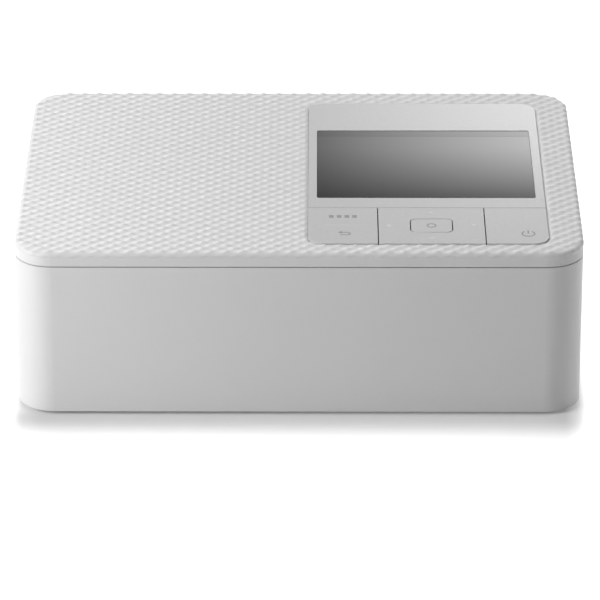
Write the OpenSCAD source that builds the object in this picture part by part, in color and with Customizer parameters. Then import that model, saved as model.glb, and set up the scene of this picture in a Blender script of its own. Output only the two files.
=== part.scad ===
// Compact dye-sublimation photo printer, closed and standing on its feet.
// X runs to the viewer's right, Y runs back from the front, Z runs up.
// The origin is on the table, under the middle of the casing.

/* [Casing] */
// Width of the casing
body_w = 182.2; // [181:0.1:200]
// Depth of the casing
body_d = 133.0; // [132:0.1:150]
// Height of the casing from its underside to the top of the operation panel
case_h = 56.4; // [56.2:0.1:64]
// Height of the casing's underside above the table
foot_proud = 1.2; // [1:0.1:3]
// Radius of the upright corners in plan
corner_r = 12.0; // [10.5:0.5:13]
// Wall of the lower case and of both doors
wall = 2.2; // [1.8:0.1:2.3]
// Thickness of the cover's top plate
cover_t = 2.0; // [1.6:0.1:2.2]
// Height of the operation panel's top above the seam
rim_h = 5.1; // [4.6:0.1:5.6]
// Open height of the seam under the rim
seam_gap = 0.4; // [0.3:0.1:0.6]
// Radius of the cover's top edge
edge_r = 1.3; // [0.6:0.1:1.8]
// Height of the operation panel above the textured top
panel_proud = 0.6; // [0.2:0.1:0.9]
// Depth of the cover's tongue inside the lower case
tongue_h = 1.6; // [0.8:0.1:2]
// Thickness of the cover's tongue
tongue_t = 1.3; // [1:0.1:1.6]
// Gap round a piece that only seats
seat_gap = 0.2; // [0.1:0.05:0.3]
// Radius of the screw towers
tower_r = 4.2; // [3.8:0.1:4.4]
// Distance of the towers from the casing's sides and back
tower_inset = 7.9; // [7.5:0.1:8.2]
// Radius of the rubber feet
foot_r = 6.0; // [4:0.5:8]
// Depth of the recess that holds a foot
foot_recess = 0.8; // [0.5:0.1:1.2]

/* [Front door] */
// Length of the door's side pieces, back from the front face
door_return = 14.0; // [13.5:0.5:20]
// Open width of the door's side seams
door_gap = 0.45; // [0.4:0.05:0.7]
// Distance of the door's hinge behind the front face
door_hinge_in = 3.5; // [3.4:0.1:3.6]
// Height of the door's hinge above the casing's underside
door_hinge_up = 5.3; // [5.2:0.1:6]
// Radius of the door's hinge knuckles
knuckle_r = 1.9; // [1.7:0.1:2]
// Radius of the door's hinge pins
door_pin_r = 0.9; // [0.7:0.1:1.1]
// Thickness of the inner front frame
frame_t = 2.0; // [1.6:0.1:2.4]

/* [Ink door] */
// Length of the ink cassette door
ink_door_l = 64.0; // [60:0.5:66]
// Height of the hinge of the ink cassette door above the inside floor
ink_hinge_up = 21.8; // [21:0.1:22.5]
// Distance of that hinge from the outer face
ink_hinge_in = 3.7; // [3.5:0.1:4]
// Radius of that hinge's pins
ink_pin_r = 1.1; // [0.8:0.1:1.2]

/* [Operation panel] */
// Width of the operation panel
panel_w = 77.2; // [77:0.1:80]
// Depth of the operation panel with its keys
panel_d = 114.9; // [110:0.1:118]
// Corner radius of the operation panel
panel_r = 5.2; // [3:0.2:7]
// Distance of the panel from the right side
panel_side = 11.1; // [10.5:0.1:14]
// Distance of the panel from the front
panel_front = 7.5; // [7:0.1:9]
// Width of the display window
window_w = 71.5; // [66:0.1:71.6]
// Depth of the display window
window_d = 56.2; // [50:0.1:57]
// Distance of the display window from the panel's front end
window_front = 35.5; // [35:0.1:38]
// Thickness of the ledge that carries the panel
ledge_t = 1.0; // [0.8:0.1:1.2]
// Width of the ledge under the panel's edge
ledge_w = 1.6; // [1.2:0.1:1.8]
// Width of the display module
lcd_w = 76.8; // [74:0.1:77]
// Depth of the display module
lcd_d = 63.9; // [60:0.1:64]
// Thickness of the display module
lcd_t = 3.2; // [2.6:0.1:3.4]

/* [Keys] */
// Depth of the row of keys
key_row_d = 27.5; // [27:0.1:28]
// Width of the menu and back key
menu_key_w = 22.4; // [21:0.1:23]
// Width of the power key
power_key_w = 20.0; // [18:0.1:21]
// Gap between neighbouring keys
key_gap = 0.35; // [0.3:0.05:0.5]
// Thickness of a key's cap
key_t = 2.0; // [1.8:0.1:2.1]
// Width of the OK key
ok_w = 13.15; // [10:0.1:14]
// Depth of the OK key
ok_d = 10.0; // [8:0.1:10.4]
// Radius of the keys' pivot pins
key_pin_r = 0.45; // [0.35:0.05:0.5]
// Radius of the guide stems of the sliding keys
stem_r = 2.0; // [1.8:0.1:2.4]

/* [Chassis] */
// Distance of the paper path's middle from the casing's right side
path_side = 77.1; // [76.6:0.5:78.1]
// Distance between the two side plates, middle to middle
plate_span = 126.0; // [125:0.5:127]
// Thickness of the side plates
plate_t = 1.2; // [1:0.1:1.4]
// Width of the paper
paper_w = 100.0; // [90:1:101]
// Height of the paper path above the inside floor
paper_h = 20.6; // [20.5:0.1:20.9]
// Running clearance of a shaft in its bore
play = 0.05; // [0.02:0.01:0.08]
// Outer radius of the roller bushes
bush_r = 5.0; // [4.4:0.1:5.2]

/* [Rollers] */
// Distance of the platen roller behind the casing's middle
platen_y = 26.0; // [25.5:0.1:26.5]
// Radius of the platen roller
platen_r = 7.0; // [6.5:0.1:7.2]
// Distance of the grip roller behind the casing's middle
grip_y = -10.0; // [-10.4:0.1:-9.8]
// Radius of the grip roller
grip_r = 5.0; // [4.6:0.1:5.2]
// Radius of the pinch roller
pinch_r = 4.0; // [3.6:0.1:4.2]
// Distance of the pick-up roller behind the casing's middle
pickup_y = -30.0; // [-30.4:0.1:-29.8]
// Radius of the pick-up tyres
pickup_r = 9.0; // [8.5:0.1:9.2]
// Width of a pick-up tyre
pickup_tyre_w = 14.0; // [8:1:20]
// Radius of the roller shafts
shaft_r = 3.0; // [2.8:0.1:3.2]
// Radius of the shafts where they carry a gear
gear_shaft_r = 2.5; // [2.2:0.1:2.6]

/* [Gears] */
// Module of every gear
gear_m = 0.8; // [0.79:0.005:0.81]
// Width of a gear
gear_w = 4.0; // [3:0.1:4.2]
// Thinning of each tooth for backlash
gear_play = 0.12; // [0.08:0.01:0.16]
// Radius of the gear studs
stud_r = 1.5; // [1.2:0.1:1.8]
// Teeth of every motor pinion
pinion_n = 12; // [11:1:12]
// Teeth of the reduction gear's large wheel
reduction_n = 30; // [29:1:30]
// Teeth of the reduction gear's small wheel
reduction_small_n = 14; // [13:1:15]
// Teeth of the platen gear
platen_n = 24; // [23:1:24]
// Teeth of the idler between the platen and the grip roller
grip_idler_n = 24; // [24:1:25]
// Teeth of the grip roller's gear
grip_n = 20; // [20:1:21]
// Teeth of the idler between the grip and the pick-up roller
pickup_idler_n = 12; // [12:1:13]
// Teeth of the pick-up roller's gear
pickup_n = 18; // [18:1:19]
// Teeth of the take-up gear
takeup_n = 26; // [24:1:26]
// Teeth of the cam gear
cam_n = 14; // [13:1:14]

/* [Ink cassette] */
// Distance of each ribbon tube from the platen roller, front and back
tube_out = 19.0; // [18.8:0.1:19.2]
// Height of the ribbon tubes' middle above the paper path
tube_up = 13.0; // [12.8:0.1:13.2]
// Outer radius of the ribbon tubes
tube_r = 10.0; // [9.6:0.1:10.1]
// Wall of the cassette
tube_wall = 1.2; // [1:0.1:1.4]
// Radius of the full ribbon roll
supply_roll_r = 7.0; // [5:0.1:7.4]
// Radius of the used ribbon roll
takeup_roll_r = 5.0; // [4.5:0.1:7]
// Radius of the spools' core
core_r = 4.0; // [3.6:0.1:4.3]
// Height of the ribbon above the paper path
film_up = 0.45; // [0.4:0.01:0.5]
// Thickness of the ribbon between the tubes
film_t = 0.15; // [0.1:0.01:0.16]

/* [Thermal head] */
// Travel of the thermal head from rest to printing
head_lift = 3.2; // [2.8:0.1:3.2]
// Height of the pressed head above the paper path
head_nip = 0.8; // [0.75:0.01:0.9]
// Length of the thermal head across the paper
head_l = 106.4; // [102:0.2:107]
// Width of the head's heat sink, front to back
sink_w = 11.6; // [10:0.2:11.8]
// Height of the cam shaft above the paper path
cam_up = 18.0; // [17.8:0.1:18.2]
// Radius of the cam shaft
cam_shaft_r = 2.0; // [1.8:0.1:2.2]
// Radius of the cams at rest
cam_r = 3.0; // [2.6:0.1:3.2]

/* [Electrics] */
// Side of the fan
fan_size = 25.0; // [20:0.5:25]
// Thickness of the fan
fan_t = 8.0; // [6:0.2:8]
// Radius of the stepper motors
motor_r = 7.5; // [6:0.1:7.6]
// Length of the stepper motors
motor_l = 15.0; // [10:0.5:15.4]
// Thickness of the circuit boards
board_t = 1.6; // [1.2:0.1:1.8]
// Drop of the main board below the cover's top plate
board_drop = 4.0; // [3.8:0.1:4.2]

/* [Hidden] */
$fn = 64;

// Heights, from the table up.
case_z = foot_proud;
body_h = foot_proud + case_h;
floor_z = case_z + wall;
seam_z = body_h - rim_h;
case_top = seam_z - seam_gap / 2;
cover_bottom = seam_z + seam_gap / 2;
cover_top = body_h - panel_proud;
cover_under = cover_top - cover_t;
ledge_z = cover_under - ledge_t;
board_top = cover_under - board_drop;
board_z = board_top - board_t;
chassis_top = board_z - 0.6;
paper_z = floor_z + paper_h;

// Plan of the casing.
half_w = body_w / 2;
half_d = body_d / 2;
path_x = half_w - path_side;
inner_w = half_w - wall;
inner_d = half_d - wall;
door_back = -half_d + door_return;
case_front = door_back + door_gap;
door_y = -half_d + door_hinge_in;
door_z = case_z + door_hinge_up;
frame_y = case_front - 0.15;
frame_back = frame_y + frame_t;
frame_top = ledge_z - 4.2;
tower_x = half_w - tower_inset;
tower_back = half_d - tower_inset + 0.4;
tower_front = frame_back + tower_r + 0.4;
tower_top = case_top - tongue_h - seam_gap;
lug_x = 76;
lug_t = 3;
pocket_y = door_y - knuckle_r - seat_gap;

// The ink door sits in the right wall, beside the cassette.
ink_x = half_w - ink_hinge_in;
ink_z = floor_z + ink_hinge_up;
ink_door_y = platen_y;
ink_door_top = case_top - 1.8;
ink_lug = 3;

// Places of the panel, its window and its keys.
panel_x1 = half_w - panel_side;
panel_x0 = panel_x1 - panel_w;
panel_cx = (panel_x0 + panel_x1) / 2;
panel_y0 = -half_d + panel_front;
panel_cy = panel_y0 + panel_d / 2;
key_y1 = panel_y0 + key_row_d;
key_cy = (panel_y0 + key_y1) / 2;
window_cy = panel_y0 + window_front + window_d / 2;
lcd_cy = panel_y0 + window_front - 3.85 + lcd_d / 2;
lcd_z = ledge_z - lcd_t;
lcd_pan_t = 0.8;
nav_x0 = panel_x0 + menu_key_w + key_gap;
nav_x1 = panel_x1 - power_key_w - key_gap;
nav_cx = (nav_x0 + nav_x1) / 2;
menu_cx = panel_x0 + menu_key_w / 2;
power_cx = panel_x1 - power_key_w / 2;
cap_z = body_h - key_t;
pivot_z = cover_under - 0.55;
saddle_top = pivot_z + key_pin_r + play + 0.15;
key_frame_t = 1.0;
key_frame_z = ledge_z - key_frame_t;
key_board_t = 1.2;
key_board_top = key_frame_z - 1.6;
switch_h = 1.5;
switch_top = key_board_top + switch_h + 0.5;
key_board_x = panel_w - 4.4;
tab_out = 5;
ear_x = [panel_x0 - 3.2, panel_x1 + 3.2];
menu_switch = 7.1;
nav_switch_x = 11.5;
nav_switch_y = 7.2;
ring_w = 28.2;
ring_d = 20.7;
ring_bar = 1.2;
ring_t = 1.1;

// Side plates of the chassis. Left and right are the viewer's.
left_out = path_x - plate_span / 2 - plate_t / 2;
left_in = left_out + plate_t;
right_in = path_x + plate_span / 2 - plate_t / 2;
right_out = right_in + plate_t;
plate_front = frame_back + 0.4;
plate_back = inner_d - 4.3;
flange_w = 7;

// Centres in the Y, Z plane of what turns.
platen_p = [platen_y, paper_z - platen_r];
grip_p = [grip_y, paper_z - grip_r];
pinch_p = [grip_y, paper_z + pinch_r + 0.1];
pickup_p = [pickup_y, paper_z + pickup_r];
takeup_p = [platen_y - tube_out, paper_z + tube_up];
supply_p = [platen_y + tube_out, paper_z + tube_up];
cam_p = [platen_y, paper_z + cam_up];
function pitch_r(n) = gear_m * n / 2;
function unit(a) = [cos(a), sin(a)];
function mesh_at(p, n1, n2, a) = p + (pitch_r(n1) + pitch_r(n2)) * unit(a);
// Centre of the wheel that meets two others, on the lower side of the line between them.
function between(p, n1, q, n2, n, side) =
    let (rp = pitch_r(n1) + pitch_r(n), rq = pitch_r(n2) + pitch_r(n), d = norm(q - p))
    let (a = (rp * rp - rq * rq + d * d) / (2 * d), h = sqrt(max(0, rp * rp - a * a)), u = (q - p) / d)
    p + a * u + side * h * [-u.y, u.x];
reduction_p = mesh_at(platen_p, platen_n, reduction_small_n, 0);
feed_p = mesh_at(reduction_p, reduction_n, pinion_n, 40);
grip_idler_p = between(platen_p, platen_n, grip_p, grip_n, grip_idler_n, 1);
pickup_idler_p = between(grip_p, grip_n, pickup_p, pickup_n, pickup_idler_n, 1);
ribbon_p = mesh_at(takeup_p, takeup_n, pinion_n, 180);
head_motor_p = mesh_at(cam_p, cam_n, pinion_n, -30);
// Turn of the second wheel that puts its gap on the first one's tooth.
function mesh_turn(p, n1, turn1, q, n2) =
    let (a = atan2(q.y - p.y, q.x - p.x))
    180 + a + 180 / n2 + (a - turn1) * n1 / n2;
reduction_turn = mesh_turn(feed_p, pinion_n, 0, reduction_p, reduction_n);
platen_turn = mesh_turn(reduction_p, reduction_small_n, 0, platen_p, platen_n);
grip_idler_turn = mesh_turn(platen_p, platen_n, platen_turn, grip_idler_p, grip_idler_n);
grip_turn = mesh_turn(grip_idler_p, grip_idler_n, grip_idler_turn, grip_p, grip_n);
pickup_idler_turn = mesh_turn(grip_p, grip_n, grip_turn, pickup_idler_p, pickup_idler_n);
pickup_turn = mesh_turn(pickup_idler_p, pickup_idler_n, pickup_idler_turn, pickup_p, pickup_n);
takeup_turn = mesh_turn(ribbon_p, pinion_n, 0, takeup_p, takeup_n);
cam_turn = mesh_turn(head_motor_p, pinion_n, 0, cam_p, cam_n);

// Layers of the gear train, outward from the left side plate.
gear_x = left_out - 0.8;
outer_gear_x = gear_x - gear_w - 0.2;
motor_plate_t = 1.2;
motor_plate_in = outer_gear_x - gear_w - 1.8;
motor_plate_out = motor_plate_in - motor_plate_t;
motor_ear = 10;
motor_ear_r = 2.5;
motor_ear_t = 1;
motor_plate_y = [ribbon_p.x - 13, inner_d - 1.4];
motor_plate_z = [floor_z + 4.6, chassis_top - 0.3];
standoffs = [
    [motor_plate_y[0] + 4, motor_plate_z[1] - 4],
    [motor_plate_y[1] - 4, motor_plate_z[1] - 4],
    [motor_plate_y[1] - 4, motor_plate_z[0] + 4],
    platen_p + [-9.2, 9.6]
];
standoff_r = 2.4;

// The cassette's end caps and what stands between them.
cassette_x0 = left_in + 1;
cassette_x1 = right_out + 0.4;
web_z0 = paper_z + 1.2;
web_z1 = paper_z + 4;
film_z = paper_z + film_up;
film_fold = 7.5;

// The thermal head at rest.
head_z = paper_z + head_nip + head_lift;
glaze = 0.3;
substrate_t = 1.2;
sink_z = head_z + glaze + substrate_t;
cam_gap = 0.35;
carrier_top = cam_p.y - cam_r - cam_gap;
carrier_t = 1.2;
carrier_end = plate_span / 2 - plate_t / 2 - 1.2;
sink_top = carrier_top - carrier_t;
sink_base = 2.4;
head_pin_r = 1.5;
head_pin_z = head_z + 6;
cam_out = head_l / 2 + 2.3;
cam_w = 3;

// Circuit board and sockets.
board_x1 = panel_x0 - 4.8;
board_x0 = -inner_w + 1.9;
board_y0 = tower_front + tower_r + 1;
board_y1 = inner_d - 1.8;
board_bosses = [for (x = [-56, board_x1 - 6], y = [board_y0 + 6.5, board_y1 - 9]) [x, y]];
card_x = -inner_w + 0.3;
card_y = board_y0 + 14.5;
card_w = 28;
card_h = 3.2;
card_l = 24.4;
usb_y = board_y0 + 50.7;
usb_w = 13.1;
usb_h = 6.8;
usb_l = 14.6;
usb_c_x = -67.2;
usb_c_w = 8.9;
usb_c_h = 3.2;
inlet_x = -68.5;
inlet_z = floor_z + 8.1;
inlet_size = 10;
inlet_r = 3.2;
fan_y = 30;
fan_z = floor_z + 18.6;
screw_r = 0.8;
screw_hole_r = screw_r + play;
screw_head_r = 1.6;
case_screw_r = 1.25;
case_screw_z = floor_z + 36;

shell_white = [0.93, 0.93, 0.92];
panel_grey = [0.88, 0.89, 0.91];
display_black = [0.07, 0.07, 0.08];
steel = [0.72, 0.73, 0.75];
gear_white = [0.86, 0.85, 0.8];
rubber_black = [0.1, 0.1, 0.1];
board_green = [0.1, 0.36, 0.2];

// ---- Plain shapes ----

// Rectangle with round corners, about its middle.
module rounded_rect(w, d, r) {
    square([w - 2 * r, d], center = true);
    square([w, d - 2 * r], center = true);
    for (x = [-1, 1], y = [-1, 1])
        translate([x * (w / 2 - r), y * (d / 2 - r)]) circle(r);
}

// Block between two corners.
module block(low, high) {
    translate(low) cube(high - low);
}

// Round bar along X between two places, at a point of the Y, Z plane.
module rod_x(x0, x1, p, r) {
    translate([min(x0, x1), p.x, p.y]) rotate([0, 90, 0]) cylinder(h = abs(x1 - x0), r = r);
}

// Outline drawn in Y and Z, given thickness along X.
module along_x(x0, x1) {
    translate([min(x0, x1), 0, 0]) rotate([90, 0, 90]) linear_extrude(abs(x1 - x0)) children();
}

// Section drawn as distance out from the corner centres and height, swept round a
// rounded rectangle.
module rim_sweep(w, d, r) {
    for (k = [0:3]) {
        a = (k % 2 == 0 ? w : d) / 2 - r;
        b = (k % 2 == 0 ? d : w) / 2 - r;
        rotate([0, 0, 90 * k]) translate([a, b, 0]) {
            rotate([90, 0, 0]) linear_extrude(2 * b) children();
            rotate_extrude(angle = 90) children();
        }
    }
}

module mirror_x() {
    children();
    mirror([1, 0, 0]) children();
}

// The same piece at both ends of the paper path, drawn about its middle.
module both_ends() {
    translate([path_x, 0, 0]) mirror_x() children();
}

// Upright screw: z is the seat of its head, and it points down or up.
module screw(x, y, z, length, up) {
    translate([x, y, z]) mirror([0, 0, up ? 0 : 1]) {
        cylinder(h = length, r = screw_r, $fn = 24);
        translate([0, 0, -1]) cylinder(h = 1, r = screw_head_r, $fn = 24);
    }
}

// ---- Gears ----

pressure_angle = 25;
addendum = 0.8;
dedendum = 1.0;
function involute(a) = tan(a) * 180 / PI - a;
function half_tooth(n, r) =
    let (rb = pitch_r(n) * cos(pressure_angle), a = r > rb ? acos(rb / r) : 0)
    90 / n - gear_play / 4 / pitch_r(n) * 180 / PI + involute(pressure_angle) - involute(a);
flank_steps = 3;
function gear_outline(n) =
    let (r0 = pitch_r(n) - dedendum * gear_m, r1 = pitch_r(n) + addendum * gear_m, s = flank_steps)
    [for (k = [0:n - 1], j = [0:2 * s + 1])
        let (i = j <= s ? j : 2 * s + 1 - j, r = r0 + (r1 - r0) * i / s)
        r * unit(360 / n * k + (j <= s ? -1 : 1) * half_tooth(n, r))];

// Spur gear about the X direction, from x out to the left.
module gear(n, p, turn, x, w, bore) {
    along_x(x, x - w) translate(p) difference() {
        rotate(turn) polygon(gear_outline(n));
        circle(bore);
    }
}

// ---- Casing ----

module case_outline() {
    rounded_rect(body_w, body_d, corner_r);
}

module case_hollow() {
    rounded_rect(2 * inner_w, 2 * inner_d, corner_r - wall);
}

// Places of the four towers that take the case screws.
module at_towers() {
    for (x = [-tower_x, tower_x], y = [tower_front, tower_back]) translate([x, y, 0]) children();
}

module at_feet() {
    for (x = [-72, 72], y = [tower_front - 2, tower_back - 6]) translate([x, y, 0]) children();
}

module bottom_case() {
    lug_y = ink_door_l / 2 + 0.3;
    color(shell_white) difference() {
        union() {
            difference() {
                translate([0, 0, case_z]) linear_extrude(case_top - case_z) case_outline();
                translate([0, 0, floor_z]) linear_extrude(case_h) case_hollow();
            }
            intersection() {
                at_towers() translate([0, 0, case_z]) cylinder(h = tower_top - case_z, r = tower_r);
                translate([0, 0, case_z]) linear_extrude(case_h) case_outline();
            }
            // Lugs of the ink door's hinge.
            for (y = [ink_door_y - lug_y - ink_lug, ink_door_y + lug_y])
                block([ink_x - 2.2, y, ink_z - 2.2], [inner_w + 0.1, y + ink_lug, ink_z + 2.2]);
            // Seat of the power inlet.
            block([inlet_x - inlet_size / 2, inner_d - 12, floor_z - 0.1],
                  [inlet_x + inlet_size / 2, inner_d + 0.1, inlet_z - inlet_size / 2]);
        }
        // The front door takes the place of the front wall.
        block([-half_w - 1, -half_d - 1, floor_z], [half_w + 1, case_front, case_top + 1]);
        block([-half_w - 1, -half_d - 1, case_z - 1],
              [half_w + 1, door_y + door_hinge_up + 0.4, floor_z + 1]);
        mirror_x() block([lug_x + 1, -half_d - 1, case_z - 1], [half_w + 1, case_front, floor_z + 1]);
        // Opening of the ink door.
        block([inner_w - 0.1, ink_door_y - lug_y, ink_z - ink_hinge_in - 0.3],
              [half_w + 1, ink_door_y + lug_y, ink_door_top + 0.3]);
        for (side = [-1, 1])
            translate([ink_x, ink_door_y + side * (lug_y + ink_lug / 2), ink_z])
                rotate([90, 0, 0]) cylinder(h = ink_lug + 1, r = ink_pin_r + play, center = true);
        // Room for the door's knuckle and lower edge beside the back tower.
        translate([ink_x, ink_door_y + lug_y, ink_z]) rotate([90, 0, 0])
            cylinder(h = tower_r + 1, r = ink_hinge_in + 0.3);
        // Slot that the paper runs out of and back while it prints.
        block([path_x - paper_w / 2 - 4, inner_d - 0.1, paper_z - 3],
              [path_x + paper_w / 2 + 4, half_d + 1, paper_z + 3.6]);
        // Ports and the power inlet.
        block([-half_w - 1, card_y - card_w / 2 + 1, board_z - card_h],
              [-inner_w + 0.1, card_y + card_w / 2 - 1, board_z - 0.3]);
        block([-half_w - 1, usb_y - usb_w / 2 - 0.3, board_z - usb_h - 0.3],
              [-inner_w + 0.1, usb_y + usb_w / 2 + 0.3, board_z + 0.3]);
        block([usb_c_x - usb_c_w / 2 - 0.3, inner_d - 0.1, board_z - usb_c_h - 0.3],
              [usb_c_x + usb_c_w / 2 + 0.3, half_d + 1, board_z + 0.3]);
        translate([inlet_x, inner_d - 0.1, inlet_z]) rotate([-90, 0, 0]) cylinder(h = wall + 1, r = inlet_r + 0.5);
        // Fan grille in the left wall, air slots in the back, slot for a security cable.
        for (k = [-3:3])
            block([-half_w - 1, fan_y + 3.2 * k - 0.8, fan_z - fan_size / 2 + 3],
                  [-inner_w + 0.1, fan_y + 3.2 * k + 0.8, fan_z + fan_size / 2 - 3]);
        for (k = [0:8])
            block([-36 + 4 * k, inner_d - 0.1, paper_z + 10], [-34 + 4 * k, half_d + 1, paper_z + 21]);
        block([tower_x - 8, inner_d - 0.1, floor_z + 5], [tower_x - 5, half_d + 1, floor_z + 12]);
        // Recesses of the feet, and the way of the case screws.
        at_feet() translate([0, 0, case_z - 1]) cylinder(h = foot_recess + 1, r = foot_r + 0.1);
        at_towers() {
            translate([0, 0, case_z - 1]) cylinder(h = case_screw_z - case_z + 1, r = tower_r - 1.3);
            cylinder(h = body_h, r = case_screw_r + play);
        }
        chassis_screw_holes();
    }
}

// Where the side plates' flanges are screwed to the floor.
function flange_screws() = [for (x = [left_in + 4, right_in - 4], y = [plate_front + 8, plate_back - 8]) [x, y]];

module chassis_screw_holes() {
    for (p = flange_screws())
        translate([p.x, p.y, case_z + 0.6]) cylinder(h = wall + 4, r = screw_hole_r, $fn = 24);
}

// Section of the cover's rim and the plate's edge.
module cover_section() {
    translate([corner_r - wall, cover_bottom]) square([wall, cover_top - edge_r - cover_bottom]);
    translate([0, cover_under]) square([corner_r - edge_r, cover_t]);
    translate([corner_r - wall, cover_under]) square([wall, cover_top - edge_r - cover_under]);
    translate([corner_r - edge_r, cover_top - edge_r]) circle(edge_r);
}

module top_cover() {
    tongue_u = corner_r - wall - seat_gap;
    color(shell_white) difference() {
        union() {
            rim_sweep(body_w, body_d, corner_r) cover_section();
            rim_sweep(body_w, body_d, corner_r)
                translate([tongue_u - tongue_t, tower_top + 0.4])
                    square([tongue_t, cover_under - tower_top + 0.1]);
            block([-half_w + corner_r, -half_d + corner_r, cover_under],
                  [half_w - corner_r, half_d - corner_r, cover_top]);
            // Ledge that carries the operation panel.
            translate([panel_cx, panel_cy, ledge_z]) linear_extrude(ledge_t + 0.1)
                square([panel_w + 2 * tab_out - 0.8, panel_d + 3], center = true);
            at_towers() translate([0, 0, tower_top + seat_gap]) cylinder(h = cover_under - tower_top, r = tower_r - 0.6);
            for (p = board_bosses) translate([p.x, p.y, board_top]) cylinder(h = board_drop + 0.1, r = 2.5);
        }
        translate([panel_cx, panel_cy, cover_under])
            linear_extrude(cover_t + 1) rounded_rect(panel_w + 2 * seat_gap, panel_d + 2 * seat_gap, panel_r);
        translate([panel_cx, panel_cy, ledge_z - 1]) linear_extrude(ledge_t + 2)
            square([panel_w - 2 * ledge_w, panel_d - 2 * ledge_w], center = true);
        at_towers() translate([0, 0, tower_top]) cylinder(h = cover_under - tower_top - 0.6, r = case_screw_r + play);
        for (p = concat(board_bosses, panel_screws()))
            translate([p.x, p.y, board_top - 1]) cylinder(h = cover_top - board_top, r = screw_hole_r, $fn = 24);
    }
}

module front_door() {
    rib_y = -inner_d + 1.6;
    color(shell_white) {
        difference() {
            union() {
                intersection() {
                    translate([0, 0, case_z]) linear_extrude(case_top - case_z) difference() {
                        case_outline();
                        case_hollow();
                    }
                    block([-half_w - 1, -half_d - 1, case_z - 1], [half_w + 1, door_back, case_top + 1]);
                }
                // Stiffening ribs across the door's inner face.
                for (z = [door_z + 9, (door_z + case_top) / 2 + 4, case_top - 6])
                    block([-lug_x + 8, -inner_d - 0.1, z], [lug_x - 8, rib_y, z + 1.2]);
                // Knuckles on the outer side of the frame's lugs.
                mirror_x() {
                    block([lug_x + lug_t + 0.3, -inner_d - 0.2, door_z - knuckle_r], [lug_x + lug_t + 3, door_y, door_z + knuckle_r]);
                    rod_x(lug_x + lug_t + 0.3, lug_x + lug_t + 3, [door_y, door_z], knuckle_r);
                }
            }
            // Pockets that the frame's lugs reach into.
            mirror_x() block([lug_x - 0.3, pocket_y, case_z - 1],
                             [lug_x + lug_t + 0.3, -inner_d + 3, door_z + knuckle_r + 0.4]);
            // The lower back corners are rounded about the hinge, to swing clear of the case.
            difference() {
                block([-half_w - 1, door_y, case_z - 1], [half_w + 1, door_back + 1, door_z]);
                rod_x(-half_w - 2, half_w + 2, [door_y, door_z], door_return - door_hinge_in + 0.3);
            }
        }
        mirror_x() rod_x(lug_x - 0.5, lug_x + lug_t + 0.5, [door_y, door_z], door_pin_r);
    }
}

module front_frame() {
    slot_w = paper_w + 14;
    color([0.8, 0.81, 0.82]) difference() {
        union() {
            block([-inner_w + 0.3, frame_y, floor_z], [inner_w - 0.3, frame_back, frame_top]);
            mirror_x() {
                block([lug_x, door_y, door_z - knuckle_r], [lug_x + lug_t, frame_y + 0.1, door_z + knuckle_r]);
                rod_x(lug_x, lug_x + lug_t, [door_y, door_z], knuckle_r);
            }
            // Lip round the cassette slot.
            block([path_x - slot_w / 2 - 1.5, frame_y - 2, floor_z], [path_x + slot_w / 2 + 1.5, frame_y + 0.1, paper_z + 8.5]);
        }
        block([path_x - slot_w / 2, frame_y - 3, floor_z + 3.1], [path_x + slot_w / 2, frame_back + 1, paper_z + 7]);
        mirror_x() rod_x(lug_x - 1, lug_x + lug_t + 1, [door_y, door_z], door_pin_r + play);
    }
}

module ink_door() {
    half_l = ink_door_l / 2;
    knuckle = 2.2;
    color(shell_white) translate([0, ink_door_y, 0]) {
        difference() {
            union() {
                block([inner_w, -half_l, ink_z], [half_w, half_l, ink_door_top]);
                // The lower edge is round about the hinge.
                intersection() {
                    translate([ink_x, 0, ink_z]) rotate([90, 0, 0]) cylinder(h = ink_door_l, r = ink_hinge_in, center = true);
                    block([inner_w, -half_l - 1, ink_z - ink_hinge_in - 1], [half_w + 1, half_l + 1, ink_z + 0.1]);
                }
                for (side = [-1, 1]) translate([0, side * (half_l - 2), 0]) {
                    translate([ink_x, 0, ink_z]) rotate([90, 0, 0]) cylinder(h = 4, r = knuckle, center = true);
                    block([ink_x, -2, ink_z], [inner_w + 0.1, 2, ink_z + knuckle]);
                }
                for (z = [ink_z + 8, ink_door_top - 4]) block([inner_w - 1, -half_l + 8, z], [inner_w + 0.1, half_l - 8, z + 1]);
            }
            // Finger recess at the door's upper edge.
            translate([half_w + 4.6, 0, ink_door_top]) rotate([90, 0, 0]) cylinder(h = 16, r = 6, center = true);
        }
        for (side = [-1, 1]) translate([ink_x, side * (half_l + 1), ink_z])
            rotate([90, 0, 0]) cylinder(h = 3, r = ink_pin_r, center = true);
    }
}

module rubber_feet() {
    color(rubber_black) at_feet() {
        cylinder(h = foot_proud + foot_recess, r = foot_r);
    }
}

module case_screws() {
    color(steel) at_towers() {
        translate([0, 0, case_screw_z]) cylinder(h = cover_under - 2 - case_screw_z, r = case_screw_r);
        translate([0, 0, case_screw_z - 2]) cylinder(h = 2, r = 2.5);
    }
}

// ---- Operation panel, display and keys ----

module panel_outline(gap) {
    rounded_rect(panel_w - 2 * gap, panel_d - 2 * gap, panel_r - gap);
}

module operation_panel() {
    color(panel_grey) translate([panel_cx, 0, cover_under]) linear_extrude(body_h - cover_under) difference() {
        intersection() {
            translate([0, panel_cy]) panel_outline(0);
            translate([-panel_w, key_y1 + key_gap]) square([2 * panel_w, panel_d]);
        }
        translate([0, window_cy]) rounded_rect(window_w, window_d, 0.8);
    }
}

module lcd_window() {
    color(display_black) translate([panel_cx, window_cy, ledge_z])
        linear_extrude(ledge_t) square([window_w + 1.9, window_d + 2.4], center = true);
}

module lcd_module() {
    color([0.3, 0.31, 0.33]) translate([panel_cx, lcd_cy, lcd_z])
        linear_extrude(lcd_t) square([lcd_w, lcd_d], center = true);
}

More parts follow.
